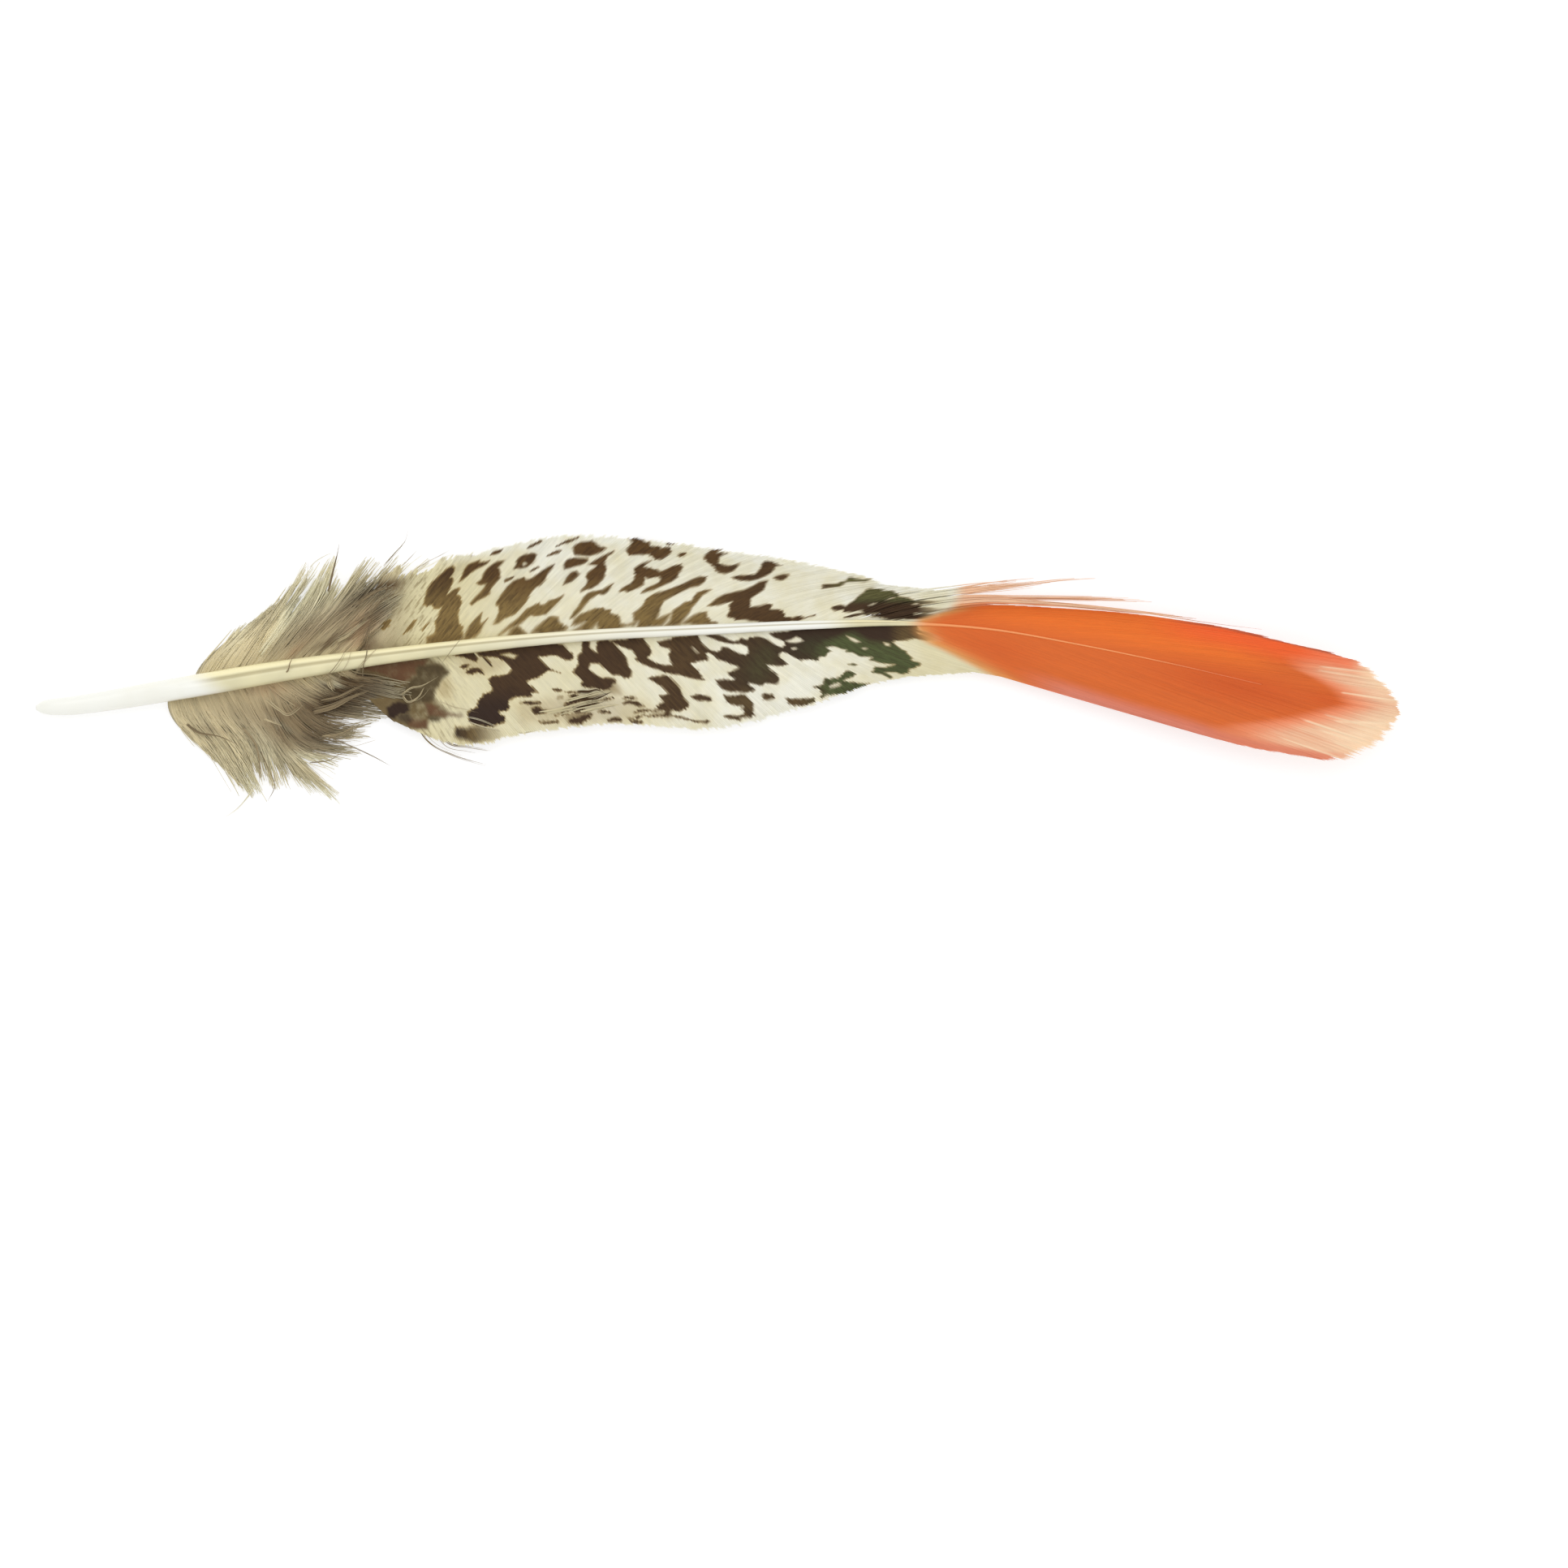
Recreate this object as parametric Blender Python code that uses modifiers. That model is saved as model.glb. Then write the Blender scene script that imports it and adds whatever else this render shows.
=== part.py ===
"""Lady Amherst pheasant feather, lying on its back: quill, shaft, vanes, down and loose barbs as one closed solid.

World frame: metres, +Z up, the floor is z = 0. The quill's tip is at -X and the orange tip at +X. The grooved
underside of the feather looks up. Tables and lengths below are in millimetres, and MM turns them into metres.
"""
import math

import bmesh
import bpy
from mathutils import Vector

MM = 0.001
COLLECTION = "lady_amherst_pheasant_feather"

# Driving sizes of the feather, in millimetres.
TIP_END = 75.0
SHAFT_END = 60.0
VANE_THICKNESS = 0.38
SHAFT_RAISE = 0.12
TIP_LIFT = 3.6
LIFT_START = 14.0
LIFT_POWER = 1.5
EDGE_RISE = 1.4
FULL_REACH = 8.0
FLAT_SHARE = 0.44

# The shaft's centre line seen from above, as (x, y).
SHAFT_LINE = [(-74.8, -3.75), (-70, -3.42), (-60, -1.8), (-45, 0.72), (-30, 2.72), (-15, 4.15), (0, 4.9),
              (10, 5.35), (20, 5.55), (30, 4.9), (40, 3.15), (50, 1.05), (60, -1.3), (68.6, -3.3), (75, -3.9)]

# The shaft's radius, as (x, radius).
SHAFT_RADIUS = [(-74.8, 0.34), (-74.0, 0.72), (-72.5, 0.94), (-69, 1.06), (-62, 1.2), (-52, 1.22), (-44, 1.08),
                (-36, 0.86), (-26, 0.75), (-14, 0.63), (2, 0.56), (12, 0.46), (22, 0.26), (40, 0.17), (60, 0.12)]

# The outer edges of the vanes and of the dense down, as (x, y).
UPPER_EDGE = [(-57.6, -0.9), (-55, 1.6), (-52, 4.5), (-48, 7.4), (-44, 9.4), (-40, 10.7), (-36, 11.6),
              (-32, 12.2), (-28, 13.0), (-24, 14.0), (-20, 14.7), (-15, 15.1), (-8, 15.0), (-2, 14.0), (5, 12.9),
              (11, 11.8), (16.4, 10.6), (18.0, 9.8), (24, 9.3), (27, 8.3), (31, 7.85), (35, 7.6), (40, 7.15),
              (45, 6.6), (50, 5.85), (55, 5.15), (60, 4.0), (65, 2.8), (69, 1.75), (71.2, 0.8), (73.0, -0.9),
              (74.3, -2.6), (75, -3.7)]
LOWER_EDGE = [(-60.3, -2.2), (-59.6, -5.0), (-57.5, -7.2), (-54.5, -9.8), (-51, -11.5), (-47, -10.9),
              (-44, -9.6), (-41, -7.4), (-38.5, -5.4), (-36.3, -4.95), (-33.5, -6.3), (-31, -7.2), (-27, -7.8),
              (-24, -7.3), (-20, -6.3), (-15, -5.65), (-10, -5.5), (-5, -5.8), (0, -6.0), (3, -5.75), (8, -4.2),
              (12, -2.8), (17, -1.2), (22, 0.1), (25, 0.4), (29, 0.1), (33, -0.6), (40, -2.8), (45, -4.35),
              (50, -5.8), (55, -7.35), (60, -8.5), (65, -9.4), (67.5, -9.7), (70.3, -9.2), (72.2, -8.0),
              (73.8, -6.5), (75, -4.2)]

# Stations along the feather where the vane is closed across, dense where its outline turns.
VANE_START = -59.8
VANE_END = 74.5
VANE_STEP = 3.0
OUTLINE_TURNS = (-58.9, -57.6, 16.6, 17.8, 70.6, 72.2, 73.5)
OUTLINE_GAP = 0.6
# Places across the vane, from its lower edge to its upper one, as shares of the way out from the shaft.
ACROSS = (-1.0, -0.84, -0.64, -FLAT_SHARE, 0.0, FLAT_SHARE, 0.64, 0.84, 1.0)

# Locks of barbs, each as (root x, middle (x, y), tip (x, y), half width at the root, tip height).
UPPER_LOCKS = [
    (-56.8, (-55.2, 1.9), (-52.7, 5.1), 0.5, 0.5),
    (-56.2, (-53.4, 3.9), (-50.6, 7.5), 0.6, 1.6),
    (-55.6, (-52.0, 4.8), (-48.3, 9.5), 0.6, 3.0),
    (-55.0, (-50.5, 5.2), (-46.5, 10.2), 0.7, 0.7),
    (-54.2, (-48.8, 6.6), (-45.0, 12.4), 0.6, 2.4),
    (-52.6, (-46.8, 7.9), (-43.8, 14.3), 0.5, 4.2),
    (-51.2, (-45.6, 7.4), (-42.6, 12.9), 0.7, 1.2),
    (-50.0, (-44.0, 6.9), (-41.2, 14.2), 0.6, 3.4),
    (-48.4, (-43.2, 7.2), (-40.0, 12.2), 0.7, 0.6),
    (-47.0, (-41.2, 8.4), (-37.7, 13.0), 0.7, 2.2),
    (-45.2, (-39.8, 8.6), (-36.0, 12.9), 0.7, 4.4),
    (-43.6, (-37.4, 10.4), (-33.8, 15.75), 0.6, 2.8),
    (-42.0, (-36.6, 9.6), (-33.0, 13.3), 0.7, 0.9),
    (-40.4, (-34.8, 9.8), (-31.2, 13.3), 0.7, 3.0),
    (-38.6, (-33.2, 9.9), (-29.6, 13.5), 0.6, 1.6),
    (-36.8, (-31.2, 10.2), (-27.4, 13.9), 0.5, 2.2),
]
LOWER_LOCKS = [
    (-59.6, (-57.6, -7.4), (-51.6, -13.2), 0.6, 0.4),
    (-58.2, (-55.0, -7.8), (-50.4, -13.5), 0.8, 1.4),
    (-57.0, (-52.9, -8.2), (-50.0, -12.4), 0.7, 3.0),
    (-55.6, (-50.6, -10.4), (-54.0, -15.75), 0.5, 0.6),
    (-54.6, (-49.9, -9.0), (-49.5, -14.1), 0.5, 1.0),
    (-53.6, (-49.2, -8.2), (-46.4, -12.3), 0.7, 3.6),
    (-52.6, (-48.0, -9.8), (-41.0, -14.3), 0.8, 0.6),
    (-51.4, (-47.0, -9.2), (-43.0, -13.2), 0.6, 2.0),
    (-50.2, (-46.4, -8.6), (-42.2, -9.8), 0.8, 3.8),
    (-48.8, (-44.8, -8.2), (-39.8, -8.8), 0.7, 0.8),
    (-47.4, (-42.4, -6.9), (-35.8, -10.2), 0.5, 1.8),
    (-46.2, (-41.6, -6.2), (-37.5, -7.3), 0.6, 0.5),
    (-44.4, (-40.6, -4.8), (-37.4, -5.2), 0.6, 2.0),
]
VANE_WISPS = [
    (-34.0, (-31.0, -6.8), (-25.0, -10.1), 0.4, 0.5),
    (-31.6, (-29.6, -6.6), (-24.8, -8.5), 0.5, 0.9),
    (17.0, (26.0, 8.6), (41.6, 10.5), 0.4, 1.9),
    (18.6, (25.0, 9.3), (34.8, 10.4), 0.4, 1.4),
    (19.6, (27.6, 8.6), (45.2, 8.3), 0.4, 1.7),
    (21.6, (30.4, 7.7), (47.8, 7.9), 0.4, 1.3),
]
TIP_LOCKS = [
    (52.0, (64.0, -0.2), (72.9, -0.3), 0.5, 4.5),
    (54.0, (66.0, -1.6), (74.3, -2.3), 0.6, 4.2),
    (56.0, (67.0, -3.0), (74.95, -3.8), 0.6, 4.0),
    (54.0, (65.0, -4.2), (74.7, -5.6), 0.6, 4.1),
    (51.0, (63.0, -5.0), (73.6, -7.0), 0.6, 4.4),
    (48.0, (60.0, -5.8), (72.0, -8.3), 0.5, 4.7),
]
LOCK_STEPS = 5
LOCK_FLATNESS = 0.42
LOCK_TIP_SHARE = 0.16
LOCK_ROOT_HEIGHT = 0.46
LOCK_ARCH = 0.9
TIP_LOCK_ARCH = 0.25
# Down locks that lie between the listed ones: shorter, narrower and with more arch.
FILL_REACH = 0.86
FILL_WIDTH = 0.8
FILL_ARCH = 1.5

FEATHER_COLOR = (0.66, 0.46, 0.26, 1.0)
FEATHER_ROUGHNESS = 0.7


def clear_scene():
    """Remove what the opened file holds."""
    for old in list(bpy.data.objects):
        bpy.data.objects.remove(old, do_unlink=True)


def along(table, x):
    """Read a smooth curve through the table's points at x: cubic pieces with the slope of the neighbours."""
    if x <= table[0][0]:
        return table[0][1]
    if x >= table[-1][0]:
        return table[-1][1]
    i = next(k for k in range(len(table) - 1) if x <= table[k + 1][0])
    (x1, y1), (x2, y2) = table[i], table[i + 1]
    x0, y0 = table[max(i - 1, 0)]
    x3, y3 = table[min(i + 2, len(table) - 1)]
    span = x2 - x1
    slope1 = (y2 - y0) / (x2 - x0) * span
    slope2 = (y3 - y1) / (x3 - x1) * span
    t = (x - x1) / span
    return ((2 * t**3 - 3 * t**2 + 1) * y1 + (t**3 - 2 * t**2 + t) * slope1
            + (3 * t**2 - 2 * t**3) * y2 + (t**3 - t**2) * slope2)


def lift(x):
    """Height of the vane's underside at the shaft: flat on the floor, then rising to the tip."""
    share = max(x - LIFT_START, 0.0) / (TIP_END - LIFT_START)
    return TIP_LIFT * share**LIFT_POWER


def edge_rise(share, reach):
    """Height that a vane of this reach gains outside its flat middle, less where the vane is narrow."""
    outside = max((abs(share) - FLAT_SHARE) / (1.0 - FLAT_SHARE), 0.0)
    return EDGE_RISE * min(reach / FULL_REACH, 1.0) * outside**1.5


def vane_point(x, share):
    """A point on the vane's underside: x along the feather, share from -1 (lower edge) to 1 (upper edge)."""
    middle = along(SHAFT_LINE, x)
    edge = along(UPPER_EDGE if share > 0 else LOWER_EDGE, x)
    height = lift(x) + edge_rise(share, abs(edge - middle))
    return Vector((x, middle + abs(share) * (edge - middle), height))


def new_object(name, data):
    """Link a new object to the feather's collection."""
    obj = bpy.data.objects.new(name, data)
    bpy.data.collections[COLLECTION].objects.link(obj)
    return obj


def mesh_from_curve(curve_object):
    """Turn a curve object into a mesh object with its caps welded."""
    depsgraph = bpy.context.evaluated_depsgraph_get()
    mesh = bpy.data.meshes.new_from_object(curve_object.evaluated_get(depsgraph))
    shape = bmesh.new()
    shape.from_mesh(mesh)
    bmesh.ops.remove_doubles(shape, verts=shape.verts, dist=1e-7)
    bmesh.ops.recalc_face_normals(shape, faces=shape.faces)
    shape.to_mesh(mesh)
    shape.free()
    obj = new_object(curve_object.name + "_solid", mesh)
    obj.matrix_world = curve_object.matrix_world
    bpy.data.objects.remove(curve_object, do_unlink=True)
    return obj


def make_shaft():
    """Quill and shaft: one round bar that tapers from the quill's tip into the orange vane."""
    data = bpy.data.curves.new("shaft", "CURVE")
    data.dimensions = "3D"
    data.bevel_depth = 1.0 * MM
    data.bevel_resolution = 1
    data.use_fill_caps = True
    stations = sorted({x for x, _ in SHAFT_RADIUS} | {x for x, _ in SHAFT_LINE if x < SHAFT_END})
    spline = data.splines.new("POLY")
    spline.points.add(len(stations) - 1)
    for point, x in zip(spline.points, stations):
        radius = along(SHAFT_RADIUS, x)
        height = lift(x) + radius + SHAFT_RAISE
        point.co = (x * MM, along(SHAFT_LINE, x) * MM, height * MM, 1.0)
        point.radius = radius
    return mesh_from_curve(new_object("shaft", data))


def make_vane():
    """The vanes and the dense down: one sheet, flat on the floor beside the shaft, with rising edges."""
    steps = round((VANE_END - VANE_START) / VANE_STEP)
    even = [VANE_START + (VANE_END - VANE_START) * k / steps for k in range(steps + 1)]
    clear = [x for x in even if all(abs(x - turn) > OUTLINE_GAP for turn in OUTLINE_TURNS)]
    stations = sorted(clear + list(OUTLINE_TURNS))
    shape = bmesh.new()
    bmesh.ops.create_grid(shape, x_segments=len(stations) - 1, y_segments=len(ACROSS) - 1, size=1.0)
    for vert in shape.verts:
        station = round((vert.co.x + 1) / 2 * (len(stations) - 1))
        place = round((vert.co.y + 1) / 2 * (len(ACROSS) - 1))
        vert.co = vane_point(stations[station], ACROSS[place]) * MM
    mesh = bpy.data.meshes.new("vane")
    shape.to_mesh(mesh)
    shape.free()
    vane = new_object("vane", mesh)
    wall = vane.modifiers.new("wall", "SOLIDIFY")
    wall.thickness = VANE_THICKNESS * MM
    wall.offset = 1.0
    return vane


def lock_profile():
    """The flat diamond that every lock has for its cross-section."""
    data = bpy.data.curves.new("lock_profile", "CURVE")
    data.dimensions = "2D"
    spline = data.splines.new("POLY")
    corners = [(1, 0), (0, LOCK_FLATNESS), (-1, 0), (0, -LOCK_FLATNESS)]
    spline.points.add(len(corners) - 1)
    for point, (across, up) in zip(spline.points, corners):
        point.co = (across * MM, up * MM, 0.0, 1.0)
    spline.use_cyclic_u = True
    return new_object("lock_profile", data)


def make_lock(lock, arch, profile):
    """One tapering lock: a bowed path from the shaft through its middle to its tip, with the flat profile."""
    root_x, middle, tip, half_width, tip_height = lock
    start = Vector((root_x, along(SHAFT_LINE, root_x), lift(root_x) + LOCK_ROOT_HEIGHT))
    pull = Vector((2 * middle[0] - (start.x + tip[0]) / 2, 2 * middle[1] - (start.y + tip[1]) / 2))
    data = bpy.data.curves.new("lock", "CURVE")
    data.dimensions = "3D"
    data.twist_mode = "Z_UP"
    data.bevel_mode = "OBJECT"
    data.bevel_object = profile
    data.use_fill_caps = True
    spline = data.splines.new("POLY")
    spline.points.add(LOCK_STEPS)
    for k, point in enumerate(spline.points):
        t = k / LOCK_STEPS
        x = (1 - t)**2 * start.x + 2 * t * (1 - t) * pull.x + t**2 * tip[0]
        y = (1 - t)**2 * start.y + 2 * t * (1 - t) * pull.y + t**2 * tip[1]
        z = start.z + (tip_height - start.z) * t**2 + 4 * arch * t * (1 - t)
        point.co = (x * MM, y * MM, z * MM, 1.0)
        point.radius = half_width * (LOCK_TIP_SHARE + (1 - LOCK_TIP_SHARE) * math.sqrt(1 - t**2))
    return mesh_from_curve(new_object("lock", data))


def between(locks):
    """A shorter lock halfway between each two neighbours of a row, to fill the down."""
    fills = []
    for first, second in zip(locks, locks[1:]):
        root_x, width, height = ((first[k] + second[k]) / 2 for k in (0, 3, 4))
        root = Vector((root_x, along(SHAFT_LINE, root_x)))
        middle = (Vector(first[1]) + Vector(second[1])) / 2
        tip = root.lerp((Vector(first[2]) + Vector(second[2])) / 2, FILL_REACH)
        fills.append((root_x, root.lerp(middle, FILL_REACH), tip, FILL_WIDTH * width, height))
    return fills


def make_locks():
    """Every lock of down, frayed barb and tip barb."""
    profile = lock_profile()
    rows = [(UPPER_LOCKS, LOCK_ARCH), (LOWER_LOCKS, LOCK_ARCH), (between(UPPER_LOCKS), FILL_ARCH),
            (between(LOWER_LOCKS), FILL_ARCH), (VANE_WISPS, TIP_LOCK_ARCH), (TIP_LOCKS, TIP_LOCK_ARCH)]
    locks = [make_lock(lock, arch, profile) for row, arch in rows for lock in row]
    bpy.data.objects.remove(profile, do_unlink=True)
    return locks


def fuse(base, others, solver):
    """Unite the base with the others, one after another, and keep the result as the base's own mesh."""
    for other in others:
        union = base.modifiers.new("union_" + other.name, "BOOLEAN")
        union.operation = "UNION"
        union.solver = solver
        union.object = other
    depsgraph = bpy.context.evaluated_depsgraph_get()
    fused = bpy.data.meshes.new_from_object(base.evaluated_get(depsgraph))
    base.modifiers.clear()
    base.data = fused
    for other in others:
        bpy.data.objects.remove(other, do_unlink=True)


def fill_sealed_gaps(mesh):
    """Keep the outer shell only, so that no gap stays sealed between crossing locks."""
    shape = bmesh.new()
    shape.from_mesh(mesh)
    shells = []
    left = set(shape.verts)
    while left:
        shell = set()
        front = [left.pop()]
        while front:
            vert = front.pop()
            shell.add(vert)
            for edge in vert.link_edges:
                other = edge.other_vert(vert)
                if other in left:
                    left.remove(other)
                    front.append(other)
        shells.append(shell)
    shells.sort(key=len)
    inner = [vert for shell in shells[:-1] for vert in shell]
    bmesh.ops.delete(shape, geom=inner, context="VERTS")
    shape.to_mesh(mesh)
    shape.free()


def feather_material():
    """Plain keratin colour for the solid."""
    material = bpy.data.materials.new("feather")
    material.use_nodes = True
    shader = material.node_tree.nodes["Principled BSDF"]
    shader.inputs["Base Color"].default_value = FEATHER_COLOR
    shader.inputs["Roughness"].default_value = FEATHER_ROUGHNESS
    shader.inputs["Metallic"].default_value = 0.0
    return material


def main():
    """Build the feather as one node."""
    clear_scene()
    collection = bpy.data.collections.new(COLLECTION)
    bpy.context.scene.collection.children.link(collection)
    feather = make_vane()
    fuse(feather, [make_shaft()], "EXACT")
    # The exact solver leaves slivers where this many locks cross, so they are united with the other one.
    fuse(feather, make_locks(), "MANIFOLD")
    fill_sealed_gaps(feather.data)
    feather.name = "feather"
    feather.data.name = "feather"
    feather.data.materials.clear()
    feather.data.materials.append(feather_material())
    return feather


main()
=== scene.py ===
"""Lady Amherst pheasant feather lying on its back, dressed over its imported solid.

The frame is the solid's: metres, +Z up, the floor at z = 0, the quill's tip at -X and the orange tip at +X.
Tables and lengths are in millimetres, and MM turns them into metres. Every barb, strand and hair is a
closed tapered strip that follows a curve, and every colour is a mask worked out from the strip's own place
on the feather.
"""

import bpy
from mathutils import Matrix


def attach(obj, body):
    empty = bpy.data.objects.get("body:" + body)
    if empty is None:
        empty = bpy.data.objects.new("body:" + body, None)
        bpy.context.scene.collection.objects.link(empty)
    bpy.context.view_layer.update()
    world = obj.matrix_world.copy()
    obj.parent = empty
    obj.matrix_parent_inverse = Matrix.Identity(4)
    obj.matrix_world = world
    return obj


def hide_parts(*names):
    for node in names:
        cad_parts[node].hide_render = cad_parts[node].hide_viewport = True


bl_info = {
    "name": "Lady Amherst Pheasant Feather",
    "version": (1, 0, 0),
    "blender": (4, 5, 0),
    "location": "3D View > Sidebar > Feather",
    "description": "Builds the quill, vanes, down and loose barbs of one feather over its solid",
    "category": "Add Mesh",
}

from types import SimpleNamespace

import bpy
import numpy as np

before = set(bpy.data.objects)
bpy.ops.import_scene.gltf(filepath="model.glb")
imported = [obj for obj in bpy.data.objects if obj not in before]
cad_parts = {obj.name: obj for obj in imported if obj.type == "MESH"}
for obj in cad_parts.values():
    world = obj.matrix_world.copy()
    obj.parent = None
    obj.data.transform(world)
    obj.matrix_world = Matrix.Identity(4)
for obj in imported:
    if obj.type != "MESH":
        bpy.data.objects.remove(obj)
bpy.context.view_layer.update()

MM = 0.001
NODE = "feather"
BODY = "root"

# Driving sizes of the solid, in millimetres.
TIP_END = 75.0
TIP_LIFT = 3.6
LIFT_START = 14.0
LIFT_POWER = 1.5
EDGE_RISE = 1.4
FULL_REACH = 8.0
FLAT_SHARE = 0.44
SHAFT_RAISE = 0.12
SHEET_MIDDLE = 0.19

# The shaft's centre line seen from above, as (x, y), and its radius, as (x, radius).
SHAFT_LINE = [
    (-74.8, -3.75), (-70, -3.42), (-60, -1.8), (-45, 0.72), (-30, 2.72), (-15, 4.15), (0, 4.9),
    (10, 5.35), (20, 5.55), (30, 4.9), (40, 3.15), (50, 1.05), (60, -1.3), (68.6, -3.3), (75, -3.9),
]
SHAFT_RADIUS = [
    (-74.8, 0.34), (-74.0, 0.72), (-72.5, 0.94), (-69, 1.06), (-62, 1.2), (-52, 1.22), (-44, 1.08),
    (-36, 0.86), (-26, 0.75), (-14, 0.63), (2, 0.56), (12, 0.46), (22, 0.26), (40, 0.17), (60, 0.12),
]

# The outer edges of the vanes and of the dense down, as (x, y).
UPPER_EDGE = [
    (-57.6, -0.9), (-55, 1.6), (-52, 4.5), (-48, 7.4), (-44, 9.4), (-40, 10.7), (-36, 11.6), (-32, 12.2),
    (-28, 13.0), (-24, 14.0), (-20, 14.7), (-15, 15.1), (-8, 15.0), (-2, 14.0), (5, 12.9), (11, 11.8),
    (16.4, 10.6), (18.0, 9.8), (24, 9.3), (27, 8.3), (31, 7.85), (35, 7.6), (40, 7.15), (45, 6.6),
    (50, 5.85), (55, 5.15), (60, 4.0), (65, 2.8), (69, 1.75), (71.2, 0.8), (73.0, -0.9), (74.3, -2.6),
    (75, -3.7),
]
LOWER_EDGE = [
    (-60.3, -2.2), (-59.6, -5.0), (-57.5, -7.2), (-54.5, -9.8), (-51, -11.5), (-47, -10.9), (-44, -9.6),
    (-41, -7.4), (-38.5, -5.4), (-36.3, -4.95), (-33.5, -6.3), (-31, -7.2), (-27, -7.8), (-24, -7.3),
    (-20, -6.3), (-15, -5.65), (-10, -5.5), (-5, -5.8), (0, -6.0), (3, -5.75), (8, -4.2), (12, -2.8),
    (17, -1.2), (22, 0.1), (25, 0.4), (29, 0.1), (33, -0.6), (40, -2.8), (45, -4.35), (50, -5.8),
    (55, -7.35), (60, -8.5), (65, -9.4), (67.5, -9.7), (70.3, -9.2), (72.2, -8.0), (73.8, -6.5),
    (75, -4.2),
]

# Guides of each vane's barbs, as (share of the barbs, root x, angle at the root, end x, end y), then how
# far out a barb bends, as a share of its length, and where the cut of the rounded end starts.
UPPER_BARBS = [
    (0.0, -43.0, 58, -36.0, 11.7), (0.1, -36.8, 56, -28.0, 13.0), (0.28, -26, 53, -15, 15.1),
    (0.52, -10, 50, 5, 12.9), (0.62, -4, 46, 13.4, 11.3), (0.68, -0.5, 43, 17.0, 10.35),
    (0.72, 1.2, 41, 17.6, 10.0), (0.76, 4, 38, 18.2, 9.75), (0.86, 8.4, 33, 20.8, 9.5),
    (0.93, 11.5, 28, 23.6, 9.2), (1.0, 14.0, 23, 26.6, 8.75),
]
LOWER_BARBS = [
    (0.0, -42.0, -52, -35.6, -5.2), (0.1, -36.5, -52, -30, -7.5), (0.17, -33, -50, -25.8, -7.7),
    (0.24, -30, -48, -21.5, -6.6), (0.4, -20, -46, -11, -5.5), (0.56, -10, -46, 0, -6.0),
    (0.72, 0, -44, 10, -3.5), (0.85, 8, -36, 19, -0.7), (1.0, 13.6, -27, 28, 0.15),
]
UPPER_ORANGE = [
    (0.0, 13.9, 21, 26.6, 7.7), (0.03, 14.2, 20, 29.6, 7.6), (0.06, 14.6, 18.5, 33, 7.5),
    (0.11, 16, 17, 45, 6.6), (0.17, 18, 15.5, 56, 4.95), (0.25, 22, 12, 66, 2.55),
    (0.37, 28, 7, 74, 0.9), (0.5, 35, 2, 78, -0.6), (0.64, 43, -3, 78, -2.0), (0.78, 51, -7, 78, -3.2),
    (0.9, 57, -10, 78, -4.2), (1.0, 60, -12.5, 78, -4.95),
]
LOWER_ORANGE = [
    (0.0, 12.0, -27, 28, 0.15), (0.07, 13.8, -26, 35, -1.2), (0.14, 15.5, -24.5, 46, -4.65),
    (0.21, 18.5, -23.5, 57, -7.85), (0.3, 23, -22, 68, -10.3), (0.42, 30, -20, 78, -12.8),
    (0.55, 39, -18, 78, -9.9), (0.7, 47, -16, 78, -7.8), (0.86, 54, -14.5, 78, -6.1),
    (1.0, 60, -12.8, 78, -4.7),
]
BARB_BEND = 0.37
ORANGE_BEND = 0.3
CUT_START = 62.0

# Guides of the down, each as (root x on the shaft, three points that the strands pass, height at the tip).
UPPER_DOWN = [
    (-57.6, -56.3, 0.9, -54.6, 2.7, -52.6, 5.1, 0.5), (-57.0, -55.4, 1.5, -53.0, 3.8, -50.2, 6.5, 0.9),
    (-56.3, -54.2, 2.1, -51.4, 4.9, -47.8, 8.5, 1.6), (-55.4, -53.0, 2.6, -50.0, 5.7, -45.8, 9.8, 1.0),
    (-54.4, -51.7, 3.1, -48.7, 6.8, -44.9, 12.1, 2.4), (-53.2, -50.4, 3.6, -47.6, 7.6, -44.8, 12.9, 3.2),
    (-52.0, -49.2, 3.6, -46.6, 7.4, -43.4, 11.4, 1.4), (-51.0, -48.4, 3.5, -45.2, 7.6, -42.4, 13.2, 2.6),
    (-50.2, -47.2, 3.5, -44.0, 7.7, -41.6, 12.6, 3.2), (-49.4, -46.2, 3.7, -43.0, 7.5, -40.6, 11.2, 1.0),
    (-48.6, -45.2, 3.9, -41.8, 7.6, -37.8, 13.1, 2.4), (-47.6, -44.2, 4.1, -40.8, 7.6, -36.6, 12.2, 1.2),
    (-46.6, -43.0, 4.2, -39.6, 7.6, -35.0, 12.9, 2.8), (-45.2, -41.6, 4.4, -38.4, 7.8, -33.6, 12.4, 1.4),
    (-43.4, -39.8, 4.6, -36.6, 8.2, -31.6, 12.6, 1.8),
]
UPPER_PULLS = [0, 1.2, 2.3, 3.5, 4.7, 5.7, 6.7, 7.6, 8.7, 9.8, 10.8, 11.9, 13, 14]
INNER_DOWN = [
    (-50.4, -46.6, 3.6, -42.4, 7.0, -37.4, 10.6, 1.2), (-48.6, -44.6, 3.9, -40.4, 7.3, -35.4, 10.4, 1.8),
    (-46.8, -43.0, 4.0, -39.2, 7.0, -34.6, 9.5, 1.4), (-45.0, -41.4, 4.0, -38.2, 6.5, -34.3, 8.8, 1.7),
    (-43.4, -40.2, 3.9, -37.6, 5.9, -35.0, 7.9, 1.1), (-42.0, -39.4, 3.9, -37.5, 5.4, -35.8, 6.9, 0.9),
    (-40.6, -38.9, 3.8, -37.6, 4.8, -36.5, 6.0, 0.8),
]
INNER_PULLS = [0, 1.5, 3, 5]
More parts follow.
